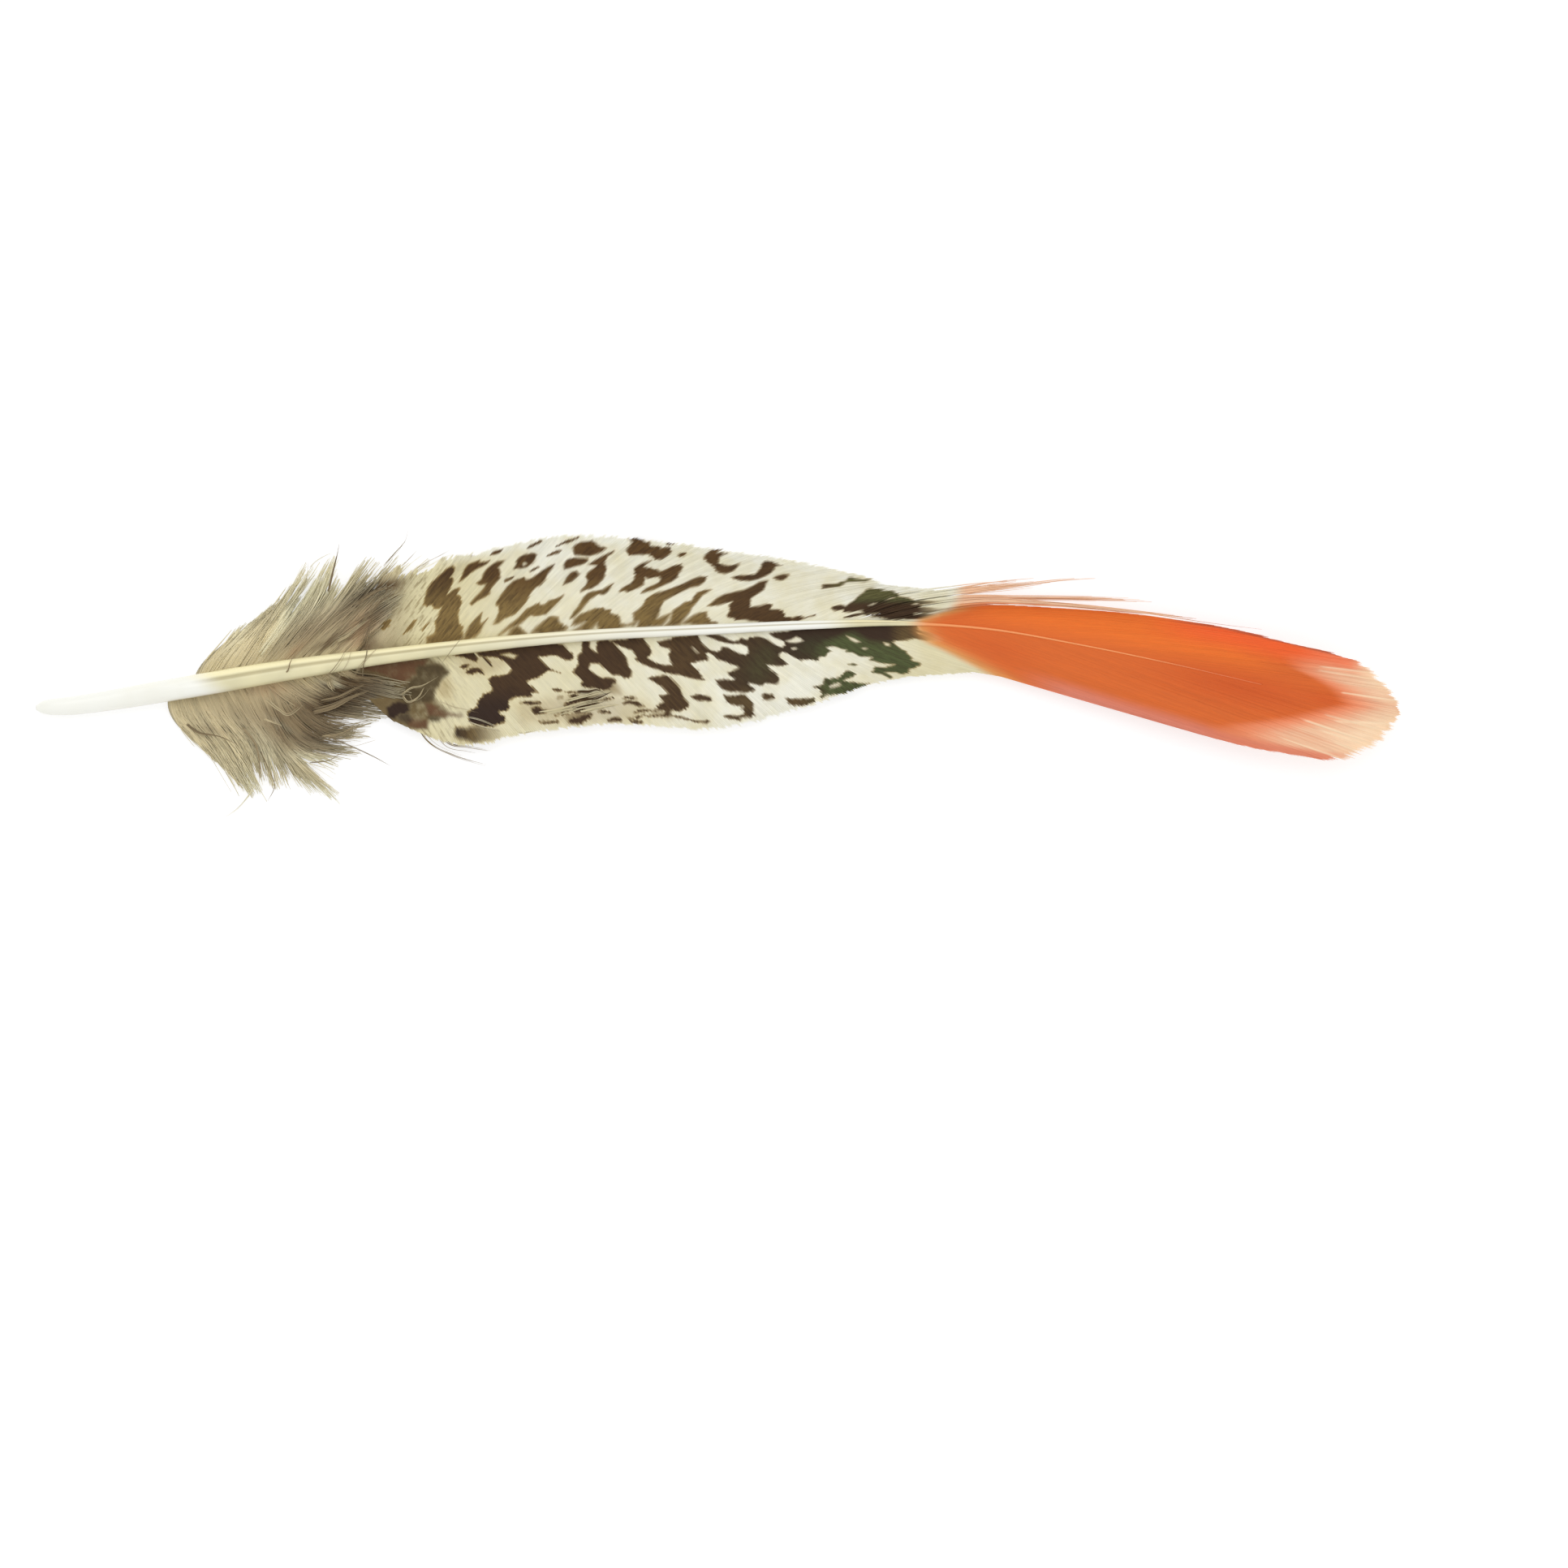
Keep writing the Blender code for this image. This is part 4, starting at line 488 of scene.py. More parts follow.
# Loose barbs at the pinch, below the lower vane and across its ruffled edge, in the form of the down lines.
LOOSE_BARBS = [
    ("peach", 0.16, 6, 0.22, 16, 6.6, 0.8, 20, 8.0, 1.1, 27, 9.0, 1.5, 32, 9.5, 1.8, 38, 10.2, 1.9, 41.6,
     10.5, 1.9),
    ("peach", 0.12, 5, 0.35, 17, 7.2, 0.8, 20, 8.5, 1.1, 26, 9.3, 1.4, 30, 9.85, 1.6, 34.8, 10.4, 1.5),
    ("peach", 0.14, 5, 0.16, 17, 6.5, 0.8, 21, 7.6, 1.1, 27, 8.45, 1.5, 33, 8.42, 1.8, 40, 8.35, 1.8,
     45.2, 8.25, 1.7),
    ("peach", 0.12, 4, 0.12, 18, 6.3, 0.8, 24, 7.8, 1.1, 30, 8.2, 1.4, 36, 8.22, 1.5, 42, 8.1, 1.5, 47.8,
     7.9, 1.3),
    ("peach", 0.14, 5, 0.10, 18, 6.3, 0.9, 23, 7.4, 1.3, 27.5, 7.95, 1.8, 31, 8.05, 2.0, 36, 7.75, 2.2,
     44, 7.0, 2.8, 52.5, 6.0, 3.2),
    ("salmon", 0.14, 4, 0.08, 18.5, 6.1, 0.9, 23, 7.0, 1.3, 27.5, 7.6, 1.8, 31, 7.75, 2.0, 36, 7.5, 2.2,
     42, 7.0, 2.6, 47.5, 6.45, 2.9),
    ("peach", 0.16, 6, 0.30, 17.4, 7.0, 0.8, 20.5, 7.9, 1.0, 24.4, 8.7, 1.2, 27.6, 9.0, 1.4, 30.6, 9.2,
     1.4),
    ("peach", 0.16, 6, 0.25, 18, 6.6, 0.8, 21, 7.4, 1.0, 25, 8.0, 1.2, 28, 8.3, 1.4, 31.5, 8.3, 1.4),
    ("salmon", 0.14, 5, 0.16, 19, 6.2, 0.8, 22.6, 7.0, 1.0, 26, 7.6, 1.3, 29, 7.75, 1.5, 33, 7.7, 1.6),
    ("peach", 0.07, 3, 0.10, 30, 7.9, 2.0, 38, 7.6, 2.4, 46, 6.75, 2.9, 54, 5.5, 3.4, 59.6, 4.75, 3.6),
    ("olive", 0.06, 3, 0.14, -34, -3, 0.5, -32, -7.1, 0.9, -29, -8.9, 0.8, -25.1, -10.1, 0.5),
    ("olive", 0.07, 4, 0.20, -31.6, -4, 0.6, -29.8, -7.5, 1.0, -27.4, -8.2, 1.0, -24.9, -8.55, 0.9),
    ("fold", 0.05, 1, 0.06, -27.6, -4.8, 0.9, -26.2, -5.1, 1.1, -24.6, -5.7, 1.2, -22.8, -6.4, 1.1),
    ("fold", 0.05, 1, 0.08, -27.4, -5.2, 0.9, -25.8, -5.8, 1.2, -24.2, -6.2, 1.3, -22.4, -6.8, 1.1),
    ("cream", 0.12, 4, 0.14, -20.4, -4.9, 0.9, -17.2, -4.2, 1.1, -14.0, -3.3, 1.1, -11.4, -2.9, 0.8),
    ("cream", 0.12, 4, 0.14, -19.0, -4.7, 0.9, -15.6, -4.3, 1.1, -12.6, -3.7, 1.1, -9.6, -3.3, 0.8),
    ("cream", 0.10, 3, 0.10, -16.6, -3.0, 0.8, -14.6, -2.5, 0.9, -13.0, -2.1, 0.9, -11.2, -1.9, 0.7),
    ("cream", 0.10, 3, 0.12, -21.6, -4.6, 0.9, -19.4, -5.0, 1.0, -16.8, -4.9, 1.1, -14.0, -4.9, 0.9),
    ("dark", 0.12, 3, 0.10, -16.0, -2.5, 0.7, -14.8, -2.9, 0.8, -13.4, -2.8, 0.8, -11.6, -2.0, 0.7),
    ("dark", 0.14, 3, 0.10, -17.4, -4.1, 0.9, -15.6, -3.9, 1.0, -14.2, -3.6, 1.0, -12.4, -3.0, 0.8),
    ("dark", 0.10, 2, 0.08, -15.4, -2.0, 0.7, -14.2, -2.0, 0.8, -13.2, -1.8, 0.8, -12.0, -2.3, 0.6),
    ("dark", 0.08, 2, 0.06, -10.6, -3.2, 0.7, -9.4, -3.2, 0.8, -8.2, -3.5, 0.8, -7.0, -3.6, 0.7),
    ("dark", 0.07, 2, 0.05, -9.6, -4.7, 0.9, -7.4, -4.5, 1.0, -5.2, -4.4, 1.0, -3.0, -4.7, 0.9),
    ("fold", 0.12, 2, 0.05, -22.6, -6.2, 1.3, -21.4, -6.5, 1.4, -20.2, -6.3, 1.4, -18.6, -5.9, 1.2),
]

# Masks of each kind of loose barb: (mark, olive, dark, orange, salmon, peach, white). With None the mask
# stays the vane's own.
BARB_TONES = {
    "peach": (None, None, None, None, 0.0, 1.4, 0.6), "salmon": (None, None, None, None, 0.3, 0.45, None),
    "olive": (0.7, 0.7, 0.0, 0.0, 0.0, 0.0, 0.2), "cream": (0.12, 0.5, 0.0, 0.0, 0.0, 0.0, 0.2),
    "dark": (1.0, 0.1, 0.6, 0.0, 0.0, 0.0, 0.0), "fold": (0.25, 0.6, 0.0, 0.0, 0.0, 0.0, 0.6),
}

# Stations along a single line of down and along a loose barb, and the limits of every strand's height.
LINE_STATIONS = 26
BARB_STATIONS = 60
LOWEST, HIGHEST = 0.12, 4.6

# Barbs that end together in one tuft of a vane's edge.
TUFT = 7

# The quill's tube: rings at the rounded end, how square the section is and the groove's angle in degrees.
TIP_RINGS = 18
SQUARENESS = 2.4
GROOVE_ANGLE = 76

# How white the ground of each vane is along the feather, as (x, share), and the upper border of the lower
# vane's green, as (x, y).
UPPER_WHITE = [(-44, 0.0), (-31, 0.1), (-26, 0.2), (-18, 0.65), (9, 0.75), (16, 0.8), (30, 0.5)]
LOWER_WHITE = [(-44, 0.0), (-30, 0.15), (-17, 0.4), (-7, 0.6), (6, 0.9), (14, 0.8), (24, 0.2)]
GREEN_TOP = [(9, 3.0), (13, 3.9), (15, 4.5), (17, 3.5), (23, 3.4)]

# The point of the floor below the camera, in millimetres, the light's place and size, in metres, and the
# colour of the floor's glow and of the surroundings.
CAMERA_OVER = (7.37, -12.14)
LIGHT_PLACE = (-0.05, 0.42, 0.9)
LIGHT_SIZE = (1.1, 0.6)
WHITE = (1.0, 1.0, 1.0, 1.0)

# The masks that the tones of a single line of down and of a loose barb set.
LINE_KEYS = ("grey", "shade", "pale")
BARB_KEYS = ("mark", "olive", "dark", "orange", "salmon", "peach", "white")


def srgb(red, green, blue):
    """A colour given as 0 to 255 on the screen, in the linear values that shaders take."""
    share = np.array([red, green, blue]) / 255.0
    linear = np.where(share <= 0.04045, share / 12.92, ((share + 0.055) / 1.055)**2.4)
    return tuple(float(v) for v in linear)


def cubic(t, start, slope1, end, slope2):
    """The value at t of the cubic piece from start to end with these slopes."""
    return ((2 * t**3 - 3 * t**2 + 1) * start + (t**3 - 2 * t**2 + t) * slope1
            + (3 * t**2 - 2 * t**3) * end + (t**3 - t**2) * slope2)


def through(table, x):
    """Smooth curve through the table's points at x: cubic pieces with the slope of the neighbours."""
    points = np.asarray(table, float)
    xs, ys = points[:, 0], points[:, 1]
    x = np.clip(np.asarray(x, float), xs[0], xs[-1])
    i = np.clip(np.searchsorted(xs, x) - 1, 0, len(xs) - 2)
    before, after = np.maximum(i - 1, 0), np.minimum(i + 2, len(xs) - 1)
    span = xs[i + 1] - xs[i]
    slope1 = (ys[i + 1] - ys[before]) / (xs[i + 1] - xs[before]) * span
    slope2 = (ys[after] - ys[i]) / (xs[after] - xs[i]) * span
    return cubic((x - xs[i]) / span, ys[i], slope1, ys[i + 1], slope2)


def ease(low, high, value):
    """0 below low, 1 above high, and 3 t^2 - 2 t^3 between them."""
    t = np.clip((value - low) / (high - low), 0.0, 1.0)
    return t * t * (3 - 2 * t)


def lift(x):
    """Height of the vane's underside at the shaft: flat on the floor, then rising to the tip."""
    return TIP_LIFT * (np.maximum(x - LIFT_START, 0.0) / (TIP_END - LIFT_START))**LIFT_POWER


def sheet_height(x, y):
    """Height of the middle of the vane's sheet at (x, y), as in the solid.

    It is the lift along the feather plus a rise with the power 1.5 of the share outside the flat middle.
    """
    middle = through(SHAFT_LINE, x)
    edge = np.where(y > middle, through(UPPER_EDGE, x), through(LOWER_EDGE, x))
    reach = np.maximum(np.abs(edge - middle), 0.5)
    share = np.clip(np.abs(y - middle) / reach, 0.0, 1.05)
    outside = np.maximum((share - FLAT_SHARE) / (1 - FLAT_SHARE), 0.0)
    return lift(x) + EDGE_RISE * np.minimum(reach / FULL_REACH, 1.0) * outside**1.5 + SHEET_MIDDLE


def spots(x, y, fields):
    """Soft field from 0 to 1: the sum of bells exp(-(a / long)^2 - (b / short)^2).

    The distances a and b are measured along and across each turned bell.
    """
    cx, cy, long_radius, short_radius, angle, strength = np.asarray(fields, float).T
    turn = np.radians(angle)
    dx, dy = x[..., None] - cx, y[..., None] - cy
    along = (dx * np.cos(turn) + dy * np.sin(turn)) / long_radius
    across = (dy * np.cos(turn) - dx * np.sin(turn)) / short_radius
    return np.clip((strength * np.exp(-along**2 - across**2)).sum(-1), 0.0, 1.0)


def depth_inside(x, y, corners):
    """Distance to the polygon's edge, positive inside and negative outside."""
    a = np.reshape(corners, (-1, 2))
    b = np.roll(a, -1, axis=0)
    edge = b - a
    px, py = x[..., None] - a[:, 0], y[..., None] - a[:, 1]
    t = np.clip((px * edge[:, 0] + py * edge[:, 1]) / (edge**2).sum(1), 0.0, 1.0)
    near = np.hypot(px - t * edge[:, 0], py - t * edge[:, 1]).min(-1)
    above_a, above_b = a[:, 1] > y[..., None], b[:, 1] > y[..., None]
    rise = np.where(edge[:, 1] == 0, 1e-9, edge[:, 1])
    crossing = x[..., None] < a[:, 0] + (y[..., None] - a[:, 1]) * edge[:, 0] / rise
    inside = ((above_a != above_b) & crossing).sum(-1) % 2 == 1
    return np.where(inside, near, -near)


def polygons_mask(x, y, polygons, softness):
    """1 inside any of the polygons and 0 outside, with a soft border."""
    covered = np.zeros(x.shape)
    for corners in polygons:
        box = np.reshape(corners, (-1, 2))
        low, high = box.min(0) - 0.6, box.max(0) + 0.6
        close = (x > low[0]) & (x < high[0]) & (y > low[1]) & (y < high[1])
        depth = depth_inside(x[close], y[close], corners)
        soft = np.broadcast_to(softness, x.shape)[close]
        covered[close] = np.maximum(covered[close], ease(-soft, soft, depth))
    return covered


def streaks_mask(x, y, streaks, softness):
    """1 within each streak's half width of its line and 0 outside, with a soft border."""
    ax, ay, bx, by, half = np.asarray(streaks, float).T
    t = ((x[..., None] - ax) * (bx - ax) + (y[..., None] - ay) * (by - ay)) / ((bx - ax)**2 + (by - ay)**2)
    t = np.clip(t, 0.0, 1.0)
    near = np.hypot(x[..., None] - ax - t * (bx - ax), y[..., None] - ay - t * (by - ay))
    taper = half * (0.45 + 0.55 * np.sin(np.pi * np.clip(t, 0.08, 0.92)))
    return ease(-softness, softness, taper - near).max(-1)


def bezier(start, bend, end, t):
    """Quadratic curve (1-t)^2 start + 2 t (1-t) bend + t^2 end for arrays of points and of t."""
    t = t[..., None]
    return (1 - t)**2 * start[:, None] + 2 * t * (1 - t) * bend[:, None] + t**2 * end[:, None]


def unit(vectors):
    """The same vectors with length 1."""
    return vectors / np.maximum(np.linalg.norm(vectors, axis=-1, keepdims=True), 1e-9)


def directions(path):
    """Unit vectors along paths, at each of their stations."""
    return unit(np.gradient(path, axis=1))


def frames(path):
    """Unit vectors at each station of paths: along, level and square to the path, and square to both."""
    along = directions(path)
    side = unit(np.cross([0.0, 0.0, 1.0], along))
    return along, side, np.cross(along, side)


def ring_faces(number):
    """Faces between neighbouring rings, from the numbers of the rings' points: (..., rings, corners)."""
    here, there = number[..., :-1, :], number[..., 1:, :]
    return np.stack([here, np.roll(here, -1, -1), np.roll(there, -1, -1), there], -1).reshape(-1, 4)


def face_places(left, right, low, high):
    """Bake map places of the same faces, from the limits of each."""
    return np.stack([left, low, right, low, right, high, left, high], -1).reshape(-1, 2)


def strips(path, half_width, half_height, tilt, corners=4):
    """Closed tapered strips along many paths.

    At each station of a path the ring's corners stand at path + A w cos(turn) + U h sin(turn), with turn in
    equal steps. A is level and square to the path, turned by the tilt about it, and U is square to both. A
    flat face closes each end. Returns points, the corners of the faces, their counts and the places on the
    bake map.
    """
    count, stations = path.shape[:2]
    _, side, up = frames(path)
    lean = np.broadcast_to(np.asarray(tilt, float), (count,))[:, None, None]
    across = side * np.cos(lean) + up * np.sin(lean)
    over = up * np.cos(lean) - side * np.sin(lean)
    turn = np.arange(corners) * 2 * np.pi / corners + (np.pi / 2 if corners == 3 else 0.0)
    rings = (path[:, :, None] + across[:, :, None] * (half_width[:, :, None] * np.cos(turn))[..., None]
             + over[:, :, None] * (half_height[:, :, None] * np.sin(turn))[..., None])
    number = np.arange(count * stations * corners).reshape(count, stations, corners)
    quads = ring_faces(number)
    first, last = number[:, 0, ::-1], number[:, -1]
    loops = np.concatenate([quads.ravel(), first.ravel(), last.ravel()])
    sizes = np.concatenate([np.full(len(quads), 4), np.full(2 * count, corners)])

    # On the bake map every strip has a column of its own, with its two end faces in the top of it.
    column = np.arange(count)[:, None, None]
    row = np.arange(stations - 1)[None, :, None]
    place = np.arange(corners)[None, None, :]
    shape = (count, stations - 1, corners)
    left = np.broadcast_to((column + 0.06 + 0.88 * place / corners) / count, shape)
    right = left + 0.88 / corners / count
    low = np.broadcast_to(0.01 + 0.96 * row / (stations - 1), shape)
    high = low + 0.96 / (stations - 1)
    cap_u = np.array([0.1, 0.4, 0.4, 0.1])[:corners]
    cap_v = np.array([0.0, 0.0, 0.005, 0.005])[:corners]
    caps = [np.stack([(np.arange(count)[:, None] + shift + cap_u) / count,
                      0.985 + np.tile(cap_v, (count, 1))], -1).reshape(-1, 2) for shift in (0.0, 0.5)]
    places = np.concatenate([face_places(left, right, low, high), *caps])
    return rings.reshape(-1, 3), loops, sizes, places


def put_mesh(name, points, loops, sizes, places, masks, smooth=False):
    """A new object of these points, faces, bake map and point masks, at the origin."""
    mesh = bpy.data.meshes.new(name)
    mesh.vertices.add(len(points))
    mesh.vertices.foreach_set("co", (points * MM).astype(np.float32).ravel())
    mesh.loops.add(len(loops))
    mesh.loops.foreach_set("vertex_index", loops.astype(np.int32))
    mesh.polygons.add(len(sizes))
    mesh.polygons.foreach_set("loop_start", np.concatenate([[0], np.cumsum(sizes)[:-1]]).astype(np.int32))
    mesh.update(calc_edges=True)
    bake_map = mesh.uv_layers.new(name="OFBake")
    bake_map.uv.foreach_set("vector", places.astype(np.float32).ravel())
    for key, values in masks.items():
        attribute = mesh.attributes.new(key, "FLOAT", "POINT")
        attribute.data.foreach_set("value", np.ascontiguousarray(values, np.float32).ravel())
    mesh.polygons.foreach_set("use_smooth", np.full(len(sizes), smooth))
    mesh.update()
    if mesh.validate():
        raise RuntimeError(f"{name} has faults in its faces")
    piece = bpy.data.objects.new(name, mesh)
    bpy.context.scene.collection.objects.link(piece)
    return piece


def wear(piece, material):
    """Give the piece its material and its slot, and let it ride in place of the solid."""
    piece.data.materials.append(material)
    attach(piece, BODY)
    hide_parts(NODE)


def on_corners(values, corners=4):
    """The same value for every corner of a ring."""
    return np.repeat(values.reshape(-1), corners)


def family(rows, count, stations, bend, cut, spread):
    """Paths of one vane's barbs seen from above, as (barbs, stations, 2).

    A barb leaves the shaft's centre line at its root x, at its angle, and ends at its end point. Root,
    angle and end run smoothly through the rows. It is the quadratic curve whose bend lies on the root's
    direction, at a fixed share of the straight distance. A cut barb stops where it leaves the outline.
    """
    share = (np.arange(count) + 0.5) / count
    table = np.asarray(rows, float)
    root_x, angle, end_x, end_y = (through(table[:, [0, k]], share) for k in (1, 2, 3, 4))
    start = np.stack([root_x, through(SHAFT_LINE, root_x)], -1)
    end = np.stack([end_x, end_y], -1)
    reach = np.linalg.norm(end - start, axis=1) * bend
    middle = start + reach[:, None] * np.stack([np.cos(np.radians(angle)), np.sin(np.radians(angle))], -1)
    limit = np.ones(count)
    if cut:
        t = np.tile(np.linspace(0, 1, 400), (count, 1))
        x, y = np.moveaxis(bezier(start, middle, end, t), -1, 0)
        beside = (y > through(UPPER_EDGE, x)) | (y < through(LOWER_EDGE, x))
        out = (x > CUT_START) & ((x > TIP_END - 0.15) | beside)
        limit = np.where(out.any(1), t[0][out.argmax(1)], 1.0)
    t = np.linspace(0, 1, stations) * (limit * (1 - spread))[:, None]
    return bezier(start, middle, end, t)


def spacing(path):
    """Distance from each barb to its neighbour, square to the barb, at each station."""
    along = directions(path)
    step = np.gradient(path, axis=0)
    return np.abs(along[..., 0] * step[..., 1] - along[..., 1] * step[..., 0])


def drift(rng, count, period, share=1.0):
    """Smooth random numbers along a row: random values every period, joined by straight lines."""
    knots = int(count / period) + 3
    return share * np.interp(np.arange(count) / period, np.arange(knots), rng.uniform(-1, 1, knots))


def vane_masks(x, y, upper, jitter):
    """Every colour mask of a vane at (x, y), each from 0 to 1.

    The marks are looked up a little farther along each barb, by its own jitter, so that their borders are
    ragged. The limits in ease are places on the feather, or distances from its shaft and edges.
    """
    shaft = through(SHAFT_LINE, x)
    top, bottom = through(UPPER_EDGE, x), through(LOWER_EDGE, x)
    at_x, at_y = x + (0.75 if upper else 0.55) * jitter, y + (0.65 if upper else -0.5) * jitter
    if upper:
        softness = 0.17 + 0.2 * ease(3.0, 1.0, y - shaft) * ease(2, -6, x)
    else:
        softness = 0.13 + 0.2 * ease(-31, -33, x)
    none = 0 * x
    mark = np.maximum(polygons_mask(at_x, at_y, UPPER_MARKS if upper else LOWER_MARKS, softness),
                      streaks_mask(x + 0.3 * jitter, y - 0.3 * jitter, THIN_MARKS, 0.1))
    mark = mark * (1 - 0.85 * polygons_mask(x, y, CREAM_SPOTS, 0.15)) * ease(25.4, 21.6, x)
    if upper:
        white = (through(UPPER_WHITE, x) + 0.3 * ease(8, 11, y) * ease(-28, -23, x) * ease(-14, -18, x)
                 + 0.5 * ease(1.1, 0.2, top - y) * ease(-32, -28, x))
        olive = ease(11.5, 6.5, y) * ease(2, -2, x) + ease(11, 15, x) * ease(7.9, 8.5, y)
        dark = 0.3 * ease(-3, 3, x) + 0.35 * ease(10, 14, x) + 0.35 * ease(-28, -30, x) * ease(6.5, 8.5, y)
        green = 0.75 * ease(11, 15, x) * ease(7.5, 8.3, y)
        tan = ease(-32.5, -37.5, x)
        rust, soot = spots(x, y, DOWN_RUST) * ease(-35.5, -37.5, x), none
        khaki = 0.6 * ease(2.6, 0.6, y - shaft) * ease(-31, -36, x)
    else:
        fade = np.where((x < -22) & (y < -5.6), ease(-22, -27.5, x), 1)
        for strength, *corners in FAINT_MARKS:
            patch = polygons_mask(at_x, at_y, [corners], 0.35 if strength > 0.6 else 0.8)
            mark = np.maximum(mark, strength * fade * patch)
        faint = polygons_mask(x, y, [FAINT_MARKS[0][1:]], 0.35)
        white = through(LOWER_WHITE, x)
        olive = (0.6 * faint * ease(-29.2, -26.5, x)
                 + 0.12 * ease(-14, -4, x) * (1 - ease(5, 9, x) * ease(0, 3, y))
                 + 0.2 * ease(-1, -2.5, y) * ease(-2, 3, x) + 0.45 * ease(18.6, 20.6, x) * ease(3, 4, y))
        fresh = spots(x, y, GREEN_FIELD)
        dark = 0.62 + 0.38 * ease(-18, -24, x) * ease(-1, -4, y) + 0.28 * ease(-4, 2, x) + 0.2 * fresh
        rust, khaki, soot = (polygons_mask(at_x, at_y, patches, 0.32)
                             for patches in (RUST_PATCHES, KHAKI_PATCHES, SOOT_PATCHES))
        green = np.maximum(0.3 * fresh, ease(9, 13, x) * ease(0.6, -0.6, y - through(GREEN_TOP, x)))
        tan = ease(-36.0, -38.5, x)
    border = np.interp(y, *np.asarray(ORANGE_START, float).T)
    orange = ease(-0.9, 0.9, x - border) * (1 - 0.55 * mark * ease(26.5, 24.5, x))
    tip = x - np.interp(y - shaft, *np.asarray(ARROWHEAD, float).T)
    red = ease(3.1, 0.7, top - y) * ease(45, 55, x) * ease(72.5, 69, x)
    # Painted light of the floor shining through the thin orange vane: pink along the lower edge, and part
    # of the pale peach of the soft end, which is also its own colour.
    lit_through_edge = ease(1.3, 0.5, y - bottom) * ease(50, 56, x) * ease(70, 66, x)
    peach = ease(0.7, 5.4, tip) * (1 - 0.8 * red) * (1 - 0.85 * lit_through_edge)
    peach = peach * (0.15 + 0.85 * ease(57, 64.5, x))
    return {
        "mark": mark, "white": np.clip(white, 0, 1), "olive": olive, "dark": np.clip(dark, 0, 1),
        "green": green, "orange": orange, "deep": spots(x, y, DEEP_FIELD),
        "yellow": np.exp(-((x - border - 0.2) / 1.7)**2),
        "bright": ease(-0.5, 2.5, y - shaft) * ease(24, 32, x) * ease(64, 56, x), "red": red,
        "salmon": ease(-0.8, 1.8, tip) * (1 - red) * ease(50, 62, x),
        "peach": peach, "end": 0.8 * ease(3.5, 9, tip) * ease(64, 71.5, x),
        "split": streaks_mask(x, y, SPLIT_LINES, 0.12),
        # Pink along the thin lower edge is painted light of the floor shining through.
        "pink": ease(1.9, 0.2, y - bottom) * ease(32, 40, x) * ease(60, 52, x), "low": lit_through_edge,
        # Painted shade: a thin dark band along the upper edge of the orange end.
        "rim": ease(0.34, 0.12, top - y) * ease(48, 54, x) * ease(70.5, 68, x),
        "tan": tan * (1 - spots(x, y, DOWN_PALE)), "grey": spots(x, y, DOWN_GREY) * tan,
        "shade": spots(x, y, DOWN_DARK) * ease(-31.5, -35.5, x), "loose": ease(-26, -34, x),
        "rust": rust, "khaki": khaki, "soot": soot, "washed": none if upper else faint,
    }


def make_vane(name, rows, count, stations, bend, upper, seed, overlap, cut=False, roughen=0.1, fray=0.0):
    """One vane's barbs as shingled strips, with their masks."""
    rng = np.random.default_rng(seed)
    clusters = np.repeat(rng.uniform(0, 1, count // TUFT + 2), TUFT)[:count]
    if cut:
        spread = rng.uniform(0.0, 0.012, count) + 0.016 * clusters**2
    else:
        spread = rng.uniform(-0.022, 0.004, count)
    if fray:
        share = (np.arange(count) + 0.5) / count
        frayed = (0.75 * clusters + 0.25 * rng.uniform(0, 1, count))**1.5
        spread = spread + fray * ease(0.15, 0.02, share) * frayed
    flat = family(rows, count, stations, bend, cut, spread)
    gap = np.clip(spacing(flat), 0.05, 0.45)
    t = np.linspace(0, 1, stations)[None, :]
    half_width = overlap / 2 * gap * (1 - t**24)**0.5 + 0.012
    half_height = np.clip(0.33 * half_width, 0.012, 0.08)
    x, y = flat[..., 0], flat[..., 1]
    height = sheet_height(x, y) + roughen * drift(rng, count, 3)[:, None] * t**2
    height = height + 0.03 * rng.uniform(-1, 1, (count, 1)) * t
    path = np.concatenate([flat, np.maximum(height, 0.1)[..., None]], -1)
    points, loops, sizes, places = strips(path, half_width, half_height, -0.13 if upper else 0.13)
    jitter = (0.09 * rng.uniform(-1, 1, count) + drift(rng, count, 3, 0.14))[:, None] + 0 * x
    masks = {key: on_corners(values) for key, values in vane_masks(x, y, upper, jitter).items()}
    tone = 0.5 + 0.3 * rng.uniform(-1, 1, (count, 1)) + drift(rng, count, 5, 0.3)[:, None]
    masks["tone"] = on_corners(np.clip(tone, 0, 1) + 0 * x)
    # Painted shade between barbs: 1 on each barb's top corner and 0 on its other corners.
    masks["ridge"] = np.tile([0.0, 1.0, 0.0, 0.0], x.size)
    masks["across"] = on_corners(np.arange(count)[:, None] + 0 * x)
    masks["along"] = on_corners(np.cumsum(np.hypot(np.gradient(x, axis=1), np.gradient(y, axis=1)), axis=1))
    return put_mesh(name, points, loops, sizes, places, masks)


def sweep(guides, place, far):
    """Curves of down seen from above, at places between the listed guides.

    Each goes through its root on the shaft and its three points, with the slope of the neighbours at every
    point. Returns (strands, stations, 2) and the tips' heights.
    """
    table = np.asarray(guides, float)
    roots = table[:, 0]
    columns = np.column_stack([roots, through(SHAFT_LINE, roots), table[:, 1:]]).T
    order = np.arange(len(table))
    *flat, tips = (np.interp(place, order, column) for column in columns)
    own = np.stack(flat, -1).reshape(len(place), 4, 2)
    slopes = np.gradient(own, axis=1)
    step = np.clip(far * 3, 0, 3)
    i = np.minimum(step.astype(int), 2)
    t = (step - i)[..., None]
    row = np.arange(len(place))[:, None]
    return cubic(t, own[row, i], slopes[row, i], own[row, i + 1], slopes[row, i + 1]), tips


